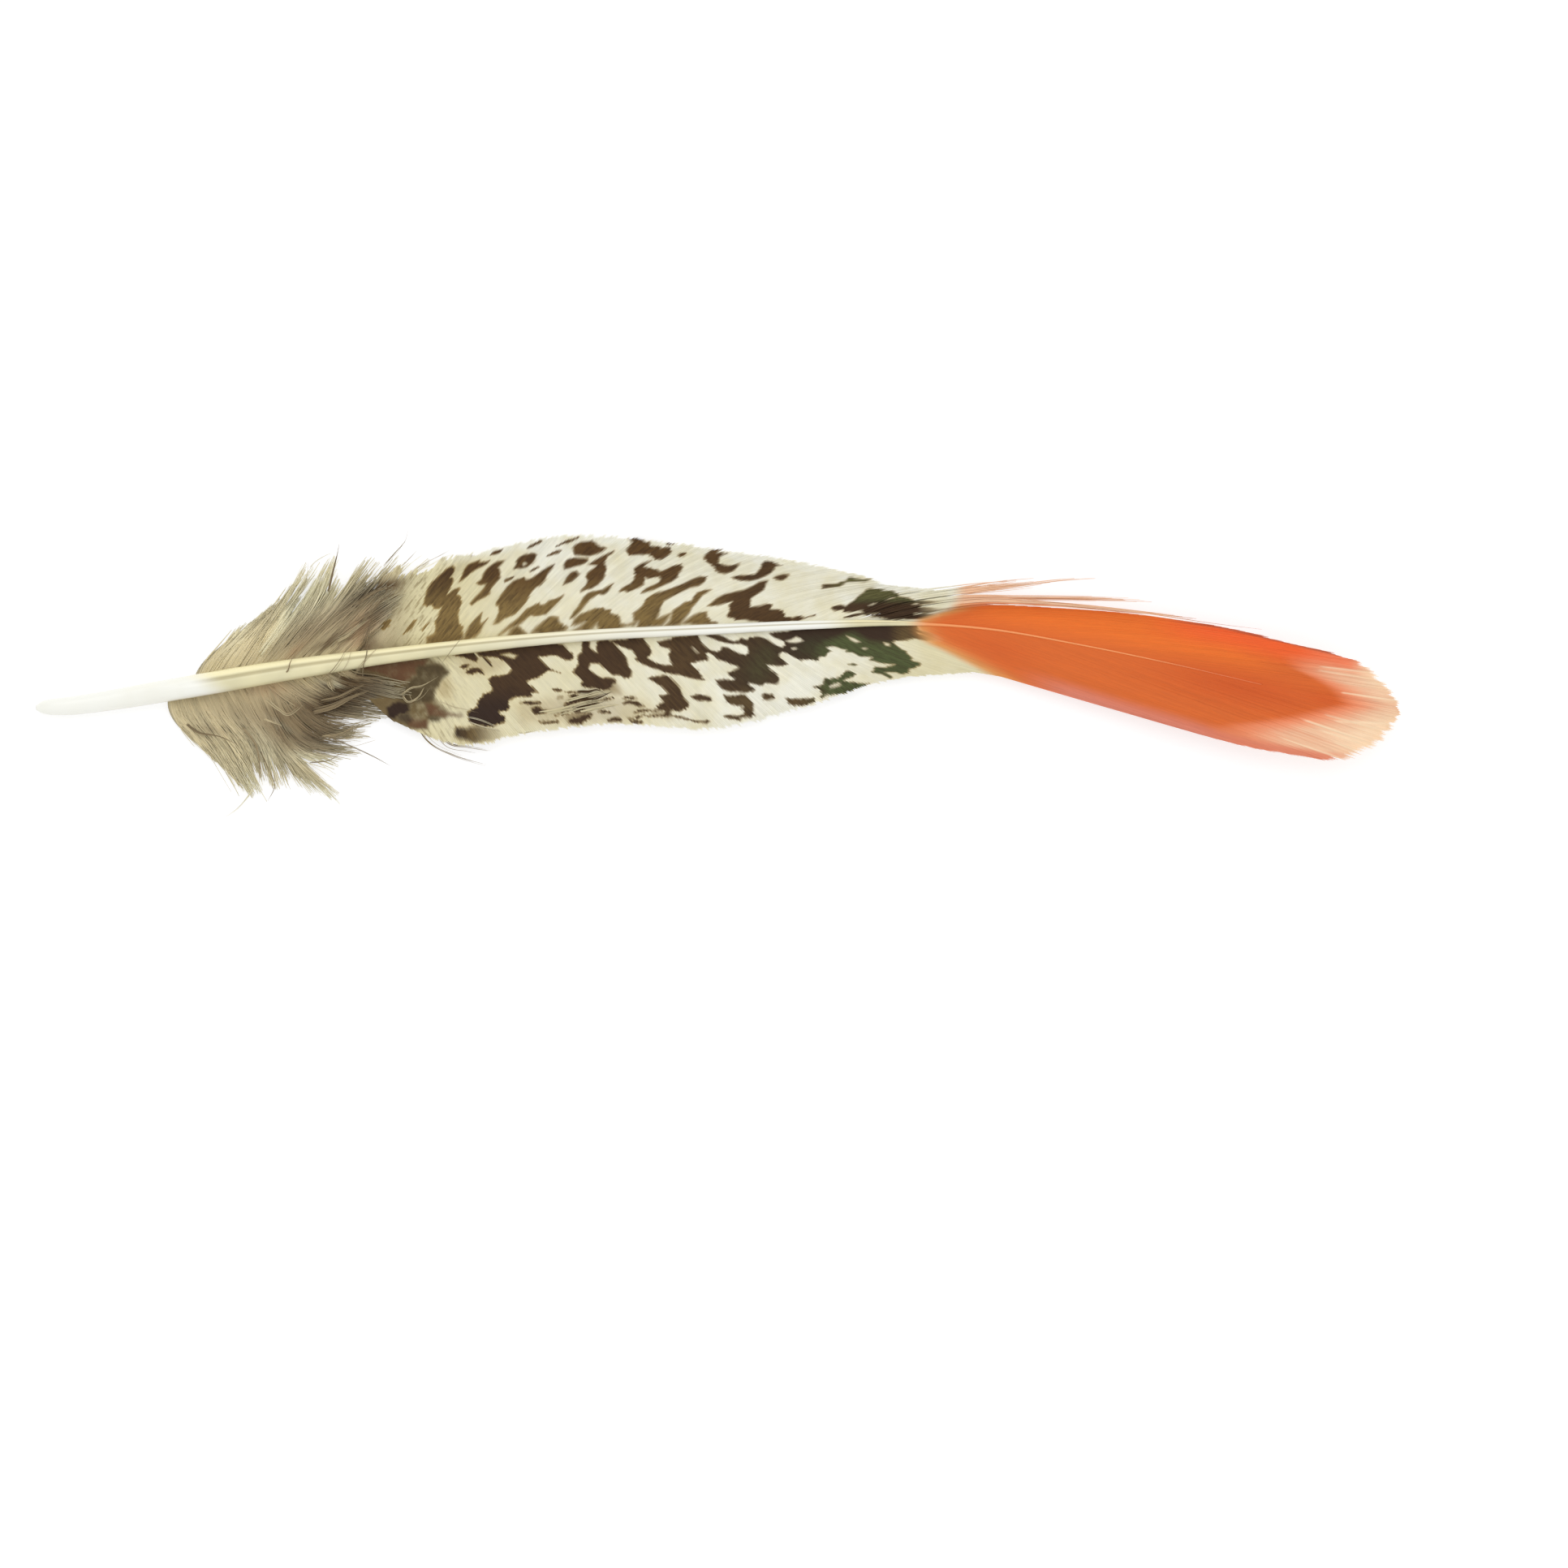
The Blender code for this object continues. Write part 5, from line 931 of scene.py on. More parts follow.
def lattice(rng, u, v):
    """Smooth random tone from 0 to 1: random values at whole u and v, joined by 3 t^2 - 2 t^3 both ways."""
    values = rng.uniform(0, 1, (int(u.max()) + 2, int(v.max()) + 2))
    i, j = u.astype(int), v.astype(int)
    s, t = ease(0, 1, u - i), ease(0, 1, v - j)
    return ((values[i, j] * (1 - s) + values[i + 1, j] * s) * (1 - t)
            + (values[i, j + 1] * (1 - s) + values[i + 1, j + 1] * s) * t)


def make_down(name, guides, pulls, notches, upper, seed, stations, counts, radius, clump):
    """Strands of down that start along the shaft and gather towards the pulling guides.

    Wide flat strands lie lowest, fine ones lie over them. Each strand slides from its own place between the
    guides to a place nearer the closest pulling guide: a share 0.6 of the way with the power 1.2 of its
    length, the rest near the tip. Its tone comes from a lattice over the place between the guides and the
    length, so that neighbours match.
    """
    rng = np.random.default_rng(seed)
    last = len(guides) - 1
    wide, fine = counts
    count = wide + fine
    broad = np.arange(count) < wide
    place = np.where(broad, (np.arange(count) + 0.5) / wide * last, rng.uniform(-0.15, last + 0.15, count))
    pulls = np.asarray(pulls, float)
    near = pulls[np.abs(place[:, None] - pulls).argmin(1)]
    apart = np.clip(np.abs(place - near), 0, 1)
    reach = np.where(broad, rng.uniform(0.72, 0.94, count), 1.02 - 0.34 * rng.uniform(0, 1, count)**1.6)
    reach = reach - 0.1 * apart
    for at, missing in notches:
        reach = reach - missing * np.exp(-((place - at) / 0.4)**2)
    t = np.linspace(0, 1, stations)[None, :]
    far = t * reach[:, None]
    own, tip_height = sweep(guides, np.clip(place, 0, last), far)
    pulled = clump * rng.uniform(0.5, 1.0, count) * (near - place)
    shared, _ = sweep(guides, np.clip(place + pulled + rng.normal(0, 0.16, count), 0, last), far)
    weight = 0.6 * far**1.2 + 0.4 * ease(0.55, 1.0, far)
    flat = own + (shared - own) * weight[..., None]
    stray = np.where(broad, 0.04, np.where(rng.uniform(0, 1, count) < 0.1, 0.45, 0.1))
    flat = flat + stray[:, None, None] * rng.normal(0, 1, (count, 1, 2)) * far[..., None]
    swing = np.sin(rng.uniform(0, 6.3, (count, 1)) + far * rng.uniform(3, 7, (count, 1)))
    wave = np.where(broad, 0.04, 0.16 if upper else 0.3)[:, None] * swing * far
    along = directions(flat)
    flat = flat + wave[..., None] * np.stack([-along[..., 1], along[..., 0]], -1)
    placed = place[:, None] + pulled[:, None] * weight + 1.0
    swell = 0.28 + 0.3 * lattice(rng, placed / 0.8, far * 3) * ease(0, 0.3, far)
    lying = rng.uniform(0.0, 0.1, (count, 1))
    arch = (0.06 + rng.uniform(0.0, 0.22, (count, 1))) * 4 * far * (1 - far)
    rising = arch + (tip_height[:, None] - 0.6) * rng.uniform(0.0, 0.8, (count, 1)) * far**3
    height = swell + np.where(broad[:, None], lying, np.maximum(rising, 0.05))
    path = np.concatenate([flat, np.clip(height, LOWEST, HIGHEST)[..., None]], -1)
    thick = np.where(broad, rng.uniform(4, 6, count), rng.uniform(0.45, 1.2, count))[:, None] * radius
    thick = thick * np.where(broad[:, None], (1 - t**3) * ease(-0.3, 0.3, t) + 0.1, 1.0 - 0.7 * t**2)
    points, loops, sizes, places = strips(path, thick, np.where(broad[:, None], 0.08, 0.5) * thick,
                                          rng.uniform(-0.06, 0.06, count), 3)
    x, y = flat[..., 0], flat[..., 1]
    sides = np.array([0.0, 1.0, -1.0]) * (1 if upper else -1)
    placed = placed[..., None] + np.where(broad, 0.2, 0.03)[:, None, None] * sides
    wider = far[..., None] + 0 * placed
    tone = 0.6 * lattice(rng, placed / 0.5, wider * 2.5) + 0.4 * lattice(rng, placed / 0.17, wider * 4)
    tone = np.clip(0.5 + 1.5 * (tone - 0.5) + 0.1 * rng.uniform(-1, 1, (count, 1, 1)), 0, 1)
    shift = 1.8 * (lattice(rng, placed / 0.2, wider * 2) - 0.5)
    at_x, at_y = x[..., None] + shift * along[..., :1], y[..., None] + shift * along[..., 1:]
    end = wider**4 * (reach > 0.8)[:, None, None]
    hairs = np.where(broad, 2.2, 0.2)[:, None, None] * np.array([0.0, -1.0, 1.0])
    masks = {
        "grey": spots(at_x, at_y, DOWN_GREY), "shade": spots(at_x, at_y, DOWN_DARK) * (1.25 - 0.5 * tone),
        "rust": spots(at_x, at_y, DOWN_RUST),
        "pale": np.clip(spots(at_x, at_y, DOWN_PALE) * (0.6 + 0.6 * tone) + 0.35 * end, 0, 1), "tone": tone,
        "across": np.arange(count)[:, None, None] * 3.0 + hairs + 0 * placed,
        "along": t[..., None] * 12 + 0 * placed,
    }
    return put_mesh(name, points, loops, sizes, places, masks, smooth=True)


def bundle(lines, stations, rng):
    """Strands of many bundles: each line's own strands lie beside its smooth path, spread towards the tip.

    A line is (tone, half width, strands, spread, x, y, z, x, y, z...). Returns paths (strands, stations,
    3), half widths and the line's number for every strand.
    """
    paths, widths, numbers = [], [], []
    for number, (_, half, strands, spread, *points) in enumerate(lines):
        corners = np.reshape(points, (-1, 3)).astype(float)
        steps = np.linspace(0, len(corners) - 1, 60)
        knots = np.arange(len(corners))
        path = np.stack([through(np.stack([knots, corners[:, k]], -1), steps) for k in range(3)], -1)
        length = np.concatenate([[0], np.cumsum(np.linalg.norm(np.diff(path, axis=0), axis=1))])
        strands = strands + strands // 2 + 1
        reach = rng.uniform(0.72, 1.0, strands)
        reach[0] = 1.0
        wanted = np.linspace(0, 1, stations)[None, :] * reach[:, None] * length[-1]
        even = np.stack([np.interp(wanted, length, path[:, k]) for k in range(3)], -1)
        t = np.linspace(0, 1, stations)[None, :]
        along = directions(even)
        side = rng.normal(0, 1.4 * spread, (strands, 1)) * (1 - 0.5 * t)
        side[0] = 0
        side = side + 0.5 * spread * np.sin(rng.uniform(0, 6, (strands, 1)) + 5 * t) * t
        even[..., 0] -= side * along[..., 1]
        even[..., 1] += side * along[..., 0]
        height = even[..., 2] + rng.uniform(-0.1, 0.1, (strands, 1)) * t
        even[..., 2] = np.clip(height, LOWEST + 0.03, HIGHEST)
        paths.append(even)
        root_width = half * rng.uniform(0.35, 0.8, (strands, 1))
        widths.append(root_width * (1 - 0.8 * t**1.5) * ease(-0.15, 0.25, t))
        numbers.append(np.full(strands, number))
    return np.concatenate(paths), np.concatenate(widths), np.concatenate(numbers)


def make_quill(name, rings, around, groove):
    """Quill and shaft as one tube with a groove along its upper face.

    The ring at x has the shaft's radius there, times 1 / (|cos|^k + |sin|^k)^(1/k) with k = SQUARENESS,
    less a bell of the groove's depth at the groove's angle. The ends are closed by a point.
    """
    x = np.concatenate([np.linspace(-74.8, -71.5, TIP_RINGS), np.linspace(-71.1, 59.6, rings - TIP_RINGS)])
    radius = through(SHAFT_RADIUS, x) * (1 - 0.35 * ease(19, 26, x) - 0.15 * ease(26, 42, x))
    centre = np.stack([x, through(SHAFT_LINE, x), lift(x) + radius + SHAFT_RAISE], -1)
    centre[:, 2] -= ease(16, 30, x) * (radius + SHAFT_RAISE - SHEET_MIDDLE - 0.02)
    along, side, up = (part[0] for part in frames(centre[None]))
    turn = np.arange(around) * 2 * np.pi / around
    bulge = (np.abs(np.cos(turn))**SQUARENESS + np.abs(np.sin(turn))**SQUARENESS)**(-1 / SQUARENESS)
    bell = np.exp(-((np.degrees(turn) - GROOVE_ANGLE) / 9)**2)
    depth = groove * ease(-61, -54, x)[:, None] * bell[None, :]
    reach = radius[:, None] * (bulge[None, :] - depth)
    rings_at = (centre[:, None] + side[:, None] * (reach * np.cos(turn))[..., None]
                + up[:, None] * (reach * np.sin(turn))[..., None])
    ends = centre[:1] - 0.12 * along[:1], centre[-1:] + 0.3 * along[-1:]
    points = np.concatenate([rings_at.reshape(-1, 3), *ends])
    count = len(x)
    number = np.arange(count * around).reshape(count, around)
    quads = ring_faces(number)
    start, end = count * around, count * around + 1
    first, last = number[0], number[-1]
    fans = np.concatenate([
        np.stack([np.full(around, start), np.roll(first, -1), first], -1),
        np.stack([np.full(around, end), last, np.roll(last, -1)], -1),
    ])
    loops = np.concatenate([quads.ravel(), fans.ravel()])
    sizes = np.concatenate([np.full(len(quads), 4), np.full(len(fans), 3)])
    column = np.arange(around)[None, :] / around
    row = np.arange(count - 1)[:, None] / (count - 1)
    left = np.broadcast_to(0.01 + 0.98 * column, (count - 1, around))
    right = left + 0.98 / around
    low = np.broadcast_to(0.02 + 0.96 * row, (count - 1, around))
    high = low + 0.96 / (count - 1)
    u0 = 0.01 + 0.98 * np.arange(around) / around
    u1 = u0 + 0.98 / around
    one = np.ones(around)
    start_places = np.stack([(u0 + u1) / 2, 0.004 * one, u1, 0.02 * one, u0, 0.02 * one], -1).reshape(-1, 2)
    end_places = np.stack([(u0 + u1) / 2, 0.996 * one, u0, 0.98 * one, u1, 0.98 * one], -1).reshape(-1, 2)
    places = np.concatenate([face_places(left, right, low, high), start_places, end_places])
    degrees = np.degrees(turn)[None, :] + 0 * x[:, None]
    far_x = x[:, None] + 0 * degrees
    # Painted light on the tube: a painted highlight along the upper side towards the light, painted shade
    # in the groove's line and painted shade on the lower side.
    ridge = ease(8, 24, degrees) * ease(70, 58, degrees) + ease(330, 352, degrees) * 0.3
    line = np.exp(-((degrees - GROOVE_ANGLE) / 8)**2)
    shaded_low_side = ease(150, 178, degrees) * ease(250, 200, degrees)
    masks = {
        "white": ease(-55.5, -59.5, far_x - 0.02 * degrees), "ridge": np.clip(ridge, 0, 1),
        "line": line, "edge": shaded_low_side, "orange": ease(20.5, 23.5, far_x),
        "pale": ease(-34, 4, far_x) * ease(16, 11, far_x), "fade": ease(44, 55, far_x),
    }
    masks = {key: np.concatenate([(values + 0 * degrees).ravel(), [values.ravel()[0], values.ravel()[-1]]])
             for key, values in masks.items()}
    return put_mesh(name, points, loops, sizes, places, masks, smooth=True)


def new_material(name):
    """An empty material, and its tree with one shader and one output."""
    material = bpy.data.materials.new(name)
    material.use_nodes = True
    tree = material.node_tree
    tree.nodes.clear()
    shader = tree.nodes.new("ShaderNodeBsdfPrincipled")
    output = tree.nodes.new("ShaderNodeOutputMaterial")
    tree.links.new(shader.outputs["BSDF"], output.inputs["Surface"])
    return material, tree, shader


def put(node, **values):
    """Set a node's inputs, with _ for each space in their names."""
    for name, value in values.items():
        node.inputs[name.replace("_", " ")].default_value = value


def plug(tree, value, socket):
    """Link a socket, or set a number or colour on it."""
    if isinstance(value, bpy.types.NodeSocket):
        tree.links.new(value, socket)
    elif isinstance(value, (int, float)):
        socket.default_value = value
    else:
        opaque = (1.0,) if len(socket.default_value) == 4 else ()
        socket.default_value = (*tuple(value)[:3], *opaque)


def mask(tree, name):
    """The value of a point mask."""
    node = tree.nodes.new("ShaderNodeAttribute")
    node.attribute_name = name
    return node.outputs["Fac"]


def blend(tree, factor, first, second, kind="MIX"):
    """Mix two colours by a factor."""
    node = tree.nodes.new("ShaderNodeMix")
    node.data_type = "RGBA"
    node.blend_type = kind
    plug(tree, factor, node.inputs[0])
    plug(tree, first, node.inputs[6])
    plug(tree, second, node.inputs[7])
    return node.outputs[2]


def layers(tree, colour, *coats):
    """Tints laid over a colour one after another: (point mask, tint) or (point mask, tint, share)."""
    for name, tint, *share in coats:
        factor = mask(tree, name)
        colour = blend(tree, times(tree, factor, *share) if share else factor, colour, tint)
    return colour


def remap(tree, value, low, high, from_low=0.0, from_high=1.0):
    """Carry a value from one range to another."""
    node = tree.nodes.new("ShaderNodeMapRange")
    plug(tree, value, node.inputs["Value"])
    put(node, From_Min=from_low, From_Max=from_high, To_Min=low, To_Max=high)
    return node.outputs["Result"]


def times(tree, first, second):
    """One value times another."""
    node = tree.nodes.new("ShaderNodeMath")
    node.operation = "MULTIPLY"
    plug(tree, first, node.inputs[0])
    plug(tree, second, node.inputs[1])
    return node.outputs[0]


def speckle(tree, vector, scale, detail=2.0):
    """Noise from 0 to 1 over a vector."""
    node = tree.nodes.new("ShaderNodeTexNoise")
    put(node, Scale=scale, Detail=detail)
    tree.links.new(vector, node.inputs["Vector"])
    return remap(tree, node.outputs["Fac"], 0.0, 1.0, 0.3, 0.7)


def places_on_object(tree):
    """Object coordinates, in metres."""
    return tree.nodes.new("ShaderNodeTexCoord").outputs["Object"]


def places_on_barb(tree, along_scale):
    """A vector of the barb's number and the distance along it, so that noise runs along each barb."""
    node = tree.nodes.new("ShaderNodeCombineXYZ")
    tree.links.new(times(tree, mask(tree, "across"), 3.7), node.inputs["X"])
    tree.links.new(times(tree, mask(tree, "along"), along_scale), node.inputs["Y"])
    return node.outputs["Vector"]


def rough_and_bump(tree, shader, grain, low, high, distance, strength):
    """Roughness between two values by the grain, and a fine bump of the same grain."""
    plug(tree, remap(tree, grain, low, high), shader.inputs["Roughness"])
    bump = tree.nodes.new("ShaderNodeBump")
    put(bump, Distance=distance, Strength=strength)
    tree.links.new(grain, bump.inputs["Height"])
    tree.links.new(bump.outputs["Normal"], shader.inputs["Normal"])


def vane_material(name, look, warm):
    """Barbs of a vane: cream with dark marks near the quill, orange with a peach end beyond the pinch."""
    material, tree, shader = new_material(name)
    patches = speckle(tree, places_on_object(tree), 330.0, 3.0)
    streak = speckle(tree, places_on_barb(tree, 0.5), 1.0, 3.0)
    white = times(tree, mask(tree, "white"), remap(tree, patches, 0.55, 1.3))
    ground = blend(tree, white, look.cream, look.ivory)
    worn = times(tree, mask(tree, "loose"), remap(tree, streak, 0.55, 0.0, 0.25, 0.5))
    ground = blend(tree, worn, ground, look.olive)
    ground = layers(tree, ground, ("tan", warm.tan), ("grey", warm.grey), ("shade", warm.brown))
    curls = remap(tree, speckle(tree, places_on_object(tree), 1100.0, 2.0), 0.72, 1.05)
    for key, tint in (("khaki", look.khaki), ("rust", look.rust), ("soot", look.soot)):
        ground = blend(tree, times(tree, mask(tree, key), curls), ground, tint)
    marks = layers(tree, look.brown, ("dark", look.umber), ("olive", look.olive), ("green", look.green))
    marks = blend(tree, remap(tree, streak, 0.0, 0.5, 0.35, 0.8), marks, look.umber)
    border = remap(tree, mask(tree, "mark"), 0.0, 1.0, 0.0, 0.5)
    golden = times(tree, border, remap(tree, mask(tree, "white"), 0.9, 0.4))
    golden = times(tree, golden, remap(tree, mask(tree, "khaki"), 1.0, 0.0))
    golden = times(tree, golden, remap(tree, mask(tree, "washed"), 1.0, 0.3))
    cream = blend(tree, golden, ground, look.gold)
    cream = blend(tree, remap(tree, mask(tree, "mark"), 0.0, 1.0, 0.15, 0.95), cream, marks)
    hot = layers(tree, look.orange, ("bright", look.bright), ("deep", look.deep),
                 ("yellow", look.yellow, 0.65), ("pink", look.pink), ("red", look.red),
                 ("salmon", look.salmon))
    # The soft end's peach is partly its own colour and partly painted light of the floor shining through.
    pale = times(tree, mask(tree, "peach"), remap(tree, mask(tree, "tone"), 0.6, 1.3))
    hot = blend(tree, pale, hot, look.peach)
    hot = blend(tree, times(tree, mask(tree, "end"), mask(tree, "peach")), hot, look.streak)
    # Pink of the floor shining through the lower edge is painted light, and the dark band along the upper
    # edge is painted shade.
    hot = layers(tree, hot, ("low", look.pink, 0.6), ("split", look.streak, 0.85), ("rim", look.rim, 0.7))
    colour = blend(tree, mask(tree, "orange"), cream, hot)
    tone = times(tree, remap(tree, mask(tree, "tone"), 0.94, 1.04), remap(tree, streak, 0.94, 1.04))
    # Painted shade: every barb is 5% darker at its sides than along its top.
    tone = times(tree, tone, remap(tree, mask(tree, "ridge"), 0.95, 1.0))
    colour = blend(tree, 1.0, colour, tone, "MULTIPLY")
    plug(tree, colour, shader.inputs["Base Color"])
    rough_and_bump(tree, shader, streak, 0.55, 0.72, 0.00003, 0.35)
    put(shader, Specular_IOR_Level=0.18, Sheen_Weight=0.02, Sheen_Roughness=0.45)
    return material


def down_material(name, warm):
    """Strands of down: tan, turning grey and brown by the masks, with pale tips."""
    material, tree, shader = new_material(name)
    streak = speckle(tree, places_on_barb(tree, 0.2), 1.0, 2.0)
    colour = layers(tree, warm.tan, ("grey", warm.grey), ("rust", warm.rust), ("shade", warm.brown),
                    ("pale", warm.pale))
    tone = times(tree, remap(tree, mask(tree, "tone"), 0.82, 1.14), remap(tree, streak, 0.9, 1.08))
    colour = blend(tree, 1.0, colour, tone, "MULTIPLY")
    plug(tree, colour, shader.inputs["Base Color"])
    rough_and_bump(tree, shader, streak, 0.7, 0.9, 0.00003, 0.3)
    put(shader, Specular_IOR_Level=0.15, Sheen_Weight=0.05, Sheen_Roughness=0.6)
    return material


def quill_material(name, look, hot):
    """Keratin: near white at the bare end, then a yellow painted highlight along the upper side, an olive
    groove line of painted shade and painted shade on the lower side, then orange.
    """
    material, tree, shader = new_material(name)
    grain = speckle(tree, places_on_object(tree), 900.0, 4.0)
    cloud = speckle(tree, places_on_object(tree), 260.0, 2.0)
    # The band's colour clouded towards the highlight colour, then the painted highlight along the upper
    # side, the pale part and painted shade in the groove's line.
    colour = blend(tree, remap(tree, cloud, 0.0, 0.5), look.band, look.ridge)
    colour = layers(tree, colour, ("ridge", look.ridge), ("pale", look.clear),
                    ("line", look.groove_shade, 0.75))
    bare = times(tree, mask(tree, "white"), remap(tree, cloud, 0.9, 1.05))
    colour = blend(tree, bare, colour, look.clear)
    # Painted shade on the lower side, then the orange of the far shaft.
    colour = layers(tree, colour, ("edge", look.groove_shade, 0.35), ("orange", hot.line),
                    ("fade", hot.orange))
    plug(tree, colour, shader.inputs["Base Color"])
    rough_and_bump(tree, shader, grain, 0.28, 0.42, 0.00002, 0.2)
    put(shader, Specular_IOR_Level=0.5, Coat_Weight=0.25, Coat_Roughness=0.2)
    return material


def colours_of(*groups):
    """The settings of several groups together, under their own names."""
    found = {key: getattr(group, key) for group in groups for key in group.__annotations__}
    return SimpleNamespace(**found)


def paint(name, description, red, green, blue):
    """A colour that a user can change, with its default as seen on the screen."""
    return bpy.props.FloatVectorProperty(name=name, description=description, subtype="COLOR", size=3,
                                         min=0.0, max=1.0, default=srgb(red, green, blue))


def whole(name, description, default, low, high):
    """A whole number that a user can change."""
    return bpy.props.IntProperty(name=name, description=description, default=default, min=low, max=high)


def amount(name, description, default, low, high, **more):
    """A number that a user can change."""
    return bpy.props.FloatProperty(name=name, description=description, default=default, min=low, max=high,
                                   **more)


class QuillSettings(bpy.types.PropertyGroup):
    """Sizes and colours of the quill and shaft."""
    groove: amount("Groove depth", "Depth of the groove as a share of the shaft's radius", 0.16, 0.0, 0.4,
                   subtype="FACTOR")
    rings: whole("Rings", "Rings of points along the quill and shaft", 360, 60, 900)
    around: whole("Points around", "Points in each ring", 40, 12, 96)
    clear: paint("Bare end", "Colour of the whitish bare end", 246, 246, 238)
    # Colour of the painted highlight along the quill's upper side.
    ridge: paint("Ridge", "Colour of the bright ridge", 250, 240, 192)
    band: paint("Band", "Colour of the shaft's lower half", 216, 209, 170)
    # Colour of the painted shade in the groove and on the quill's lower side.
    groove_shade: paint("Groove", "Colour in the groove", 158, 142, 92)


class VaneSettings(bpy.types.PropertyGroup):
    """Sizes and colours of the mottled vanes."""
    upper_barbs: whole("Upper barbs", "Barbs of the upper mottled vane", 300, 60, 400)
    lower_barbs: whole("Lower barbs", "Barbs of the lower mottled vane", 280, 60, 400)
    overlap: amount("Overlap", "Width of a barb as a share of the spacing", 1.5, 1.0, 2.0, subtype="FACTOR")
    cream: paint("Cream", "Yellower ground of the vane near the quill", 222, 212, 168)
    ivory: paint("Ivory", "Whiter ground of the vane farther out", 240, 238, 222)
    brown: paint("Brown", "Brown of the marks", 98, 71, 38)
    umber: paint("Umber", "Darkest brown of the marks", 54, 38, 28)
    gold: paint("Gold", "Soft border of the marks near the quill", 176, 146, 84)
    olive: paint("Olive", "Paler brown of the marks near the shaft", 136, 112, 66)
    green: paint("Green", "Green-black of the marks near the pinch", 84, 92, 54)
    rust: paint("Rust", "Reddish brown of the lower vane's base", 106, 74, 50)
    khaki: paint("Khaki", "Olive patch at the lower vane's base", 118, 100, 66)
    soot: paint("Soot", "Dark downy patch at the lower vane's base", 82, 68, 44)


class OrangeSettings(bpy.types.PropertyGroup):
    """Sizes and colours of the orange vanes."""
    upper_barbs: whole("Upper barbs", "Barbs of the upper orange vane", 170, 60, 300)
    lower_barbs: whole("Lower barbs", "Barbs of the lower orange vane", 190, 60, 300)
    orange: paint("Orange", "Main orange", 222, 110, 50)
    bright: paint("Bright orange", "Lighter orange of the upper vane", 242, 122, 48)
    line: paint("Shaft line", "Thin light shaft within the orange", 242, 152, 86)
    # Painted shade along the upper edge of the orange end.
    rim: paint("Rim", "Thin dark rim of the upper edge", 176, 92, 66)
    deep: paint("Deep orange", "Orange of the arrowhead", 213, 95, 42)
    red: paint("Red", "Red along the upper edge", 250, 108, 52)
    # Pink is painted light of the floor shining through the thin lower edge; peach is partly the soft end's
    # own colour and partly painted light shining through.
    pink: paint("Pink", "Thin lower edge with the floor shining through", 222, 134, 110)
    salmon: paint("Salmon", "Border of the arrowhead", 242, 146, 104)
    peach: paint("Peach", "Soft end of the feather", 244, 198, 162)
    yellow: paint("Yellow", "Border between cream and orange", 228, 178, 108)
    streak: paint("Streak", "Pale streaks of the soft end", 255, 228, 192)


class DownSettings(bpy.types.PropertyGroup):
    """Sizes and colours of the down."""
    wide: whole("Wide strands", "Flat strands under the fine ones on each side", 150, 0, 400)
    strands: whole("Fine strands", "Fine strands of down on each side", 1000, 100, 1400)
    radius: amount("Strand half width", "Half width of a strand at its root, in mm", 0.1, 0.02, 0.4)
    clump: amount("Gathering", "How far strands gather into locks", 0.66, 0.0, 1.0, subtype="FACTOR")
    tan: paint("Tan", "Tan of the down", 224, 210, 170)
    grey: paint("Grey-brown", "Grey-brown of the down's middle", 157, 138, 106)
    brown: paint("Brown", "Darkest brown of the down", 96, 75, 48)
    rust: paint("Rust", "Reddish streaks near the vane", 168, 130, 96)
    pale: paint("Pale", "Pale tips and streaks", 243, 238, 206)


class StageSettings(bpy.types.PropertyGroup):
    """Camera, lights and floor."""
    camera_height: amount("Camera height", "Camera's height over the floor", 0.48, 0.1, 5.0, unit="LENGTH")
    key_power: amount("Key light", "Power of the light behind the feather", 2.2, 0.0, 100.0, unit="POWER")
    sky: amount("Sky", "Strength of the white surroundings", 0.86, 0.0, 5.0)
    glow: amount("Floor glow", "Light of the floor's own, as on a light table", 0.62, 0.0, 3.0)
    floor: paint("Floor", "Colour of the floor", 180, 180, 180)


class FEATHER_OT_quill(bpy.types.Operator):
    """Build the quill and shaft"""
    bl_idname = "feather.quill"
    bl_label = "Quill and shaft"

    def execute(self, context):
        """Tube with a groove, in keratin."""
        own = context.scene.feather_quill
        piece = make_quill("quill_and_shaft", own.rings, own.around, own.groove)
        wear(piece, quill_material("quill_keratin", own, context.scene.feather_orange))
        return {"FINISHED"}


class FEATHER_OT_mottled_vanes(bpy.types.Operator):
    """Build the cream and brown vanes"""
    bl_idname = "feather.mottled_vanes"
    bl_label = "Mottled vanes"

    def execute(self, context):
        """Two vanes of shingled barbs."""
        own = context.scene.feather_vane
        look = colours_of(own, context.scene.feather_orange)
        material = vane_material("mottled_barbs", look, context.scene.feather_down)
        for name, rows, count, stations, upper, seed, fray in (
                ("mottled_vane_upper", UPPER_BARBS, own.upper_barbs, 70, True, 11, 0.3),
                ("mottled_vane_lower", LOWER_BARBS, own.lower_barbs, 54, False, 12, 0.0)):
            vane = make_vane(name, rows, count, stations, BARB_BEND, upper, seed, own.overlap, fray=fray)
            wear(vane, material)
        return {"FINISHED"}


class FEATHER_OT_orange_vanes(bpy.types.Operator):
    """Build the orange vanes with their soft end"""
    bl_idname = "feather.orange_vanes"
    bl_label = "Orange vanes"

    def execute(self, context):
        """Two vanes of long barbs, cut at the rounded tip."""
        own = context.scene.feather_orange
        look = colours_of(context.scene.feather_vane, own)
        material = vane_material("orange_barbs", look, context.scene.feather_down)
        overlap = context.scene.feather_vane.overlap
        for name, rows, count, upper, seed in (
                ("orange_vane_upper", UPPER_ORANGE, own.upper_barbs, True, 13),
                ("orange_vane_lower", LOWER_ORANGE, own.lower_barbs, False, 14)):
            vane = make_vane(name, rows, count, 72, ORANGE_BEND, upper, seed, overlap, cut=True,
                             roughen=0.06)
            wear(vane, material)
        return {"FINISHED"}


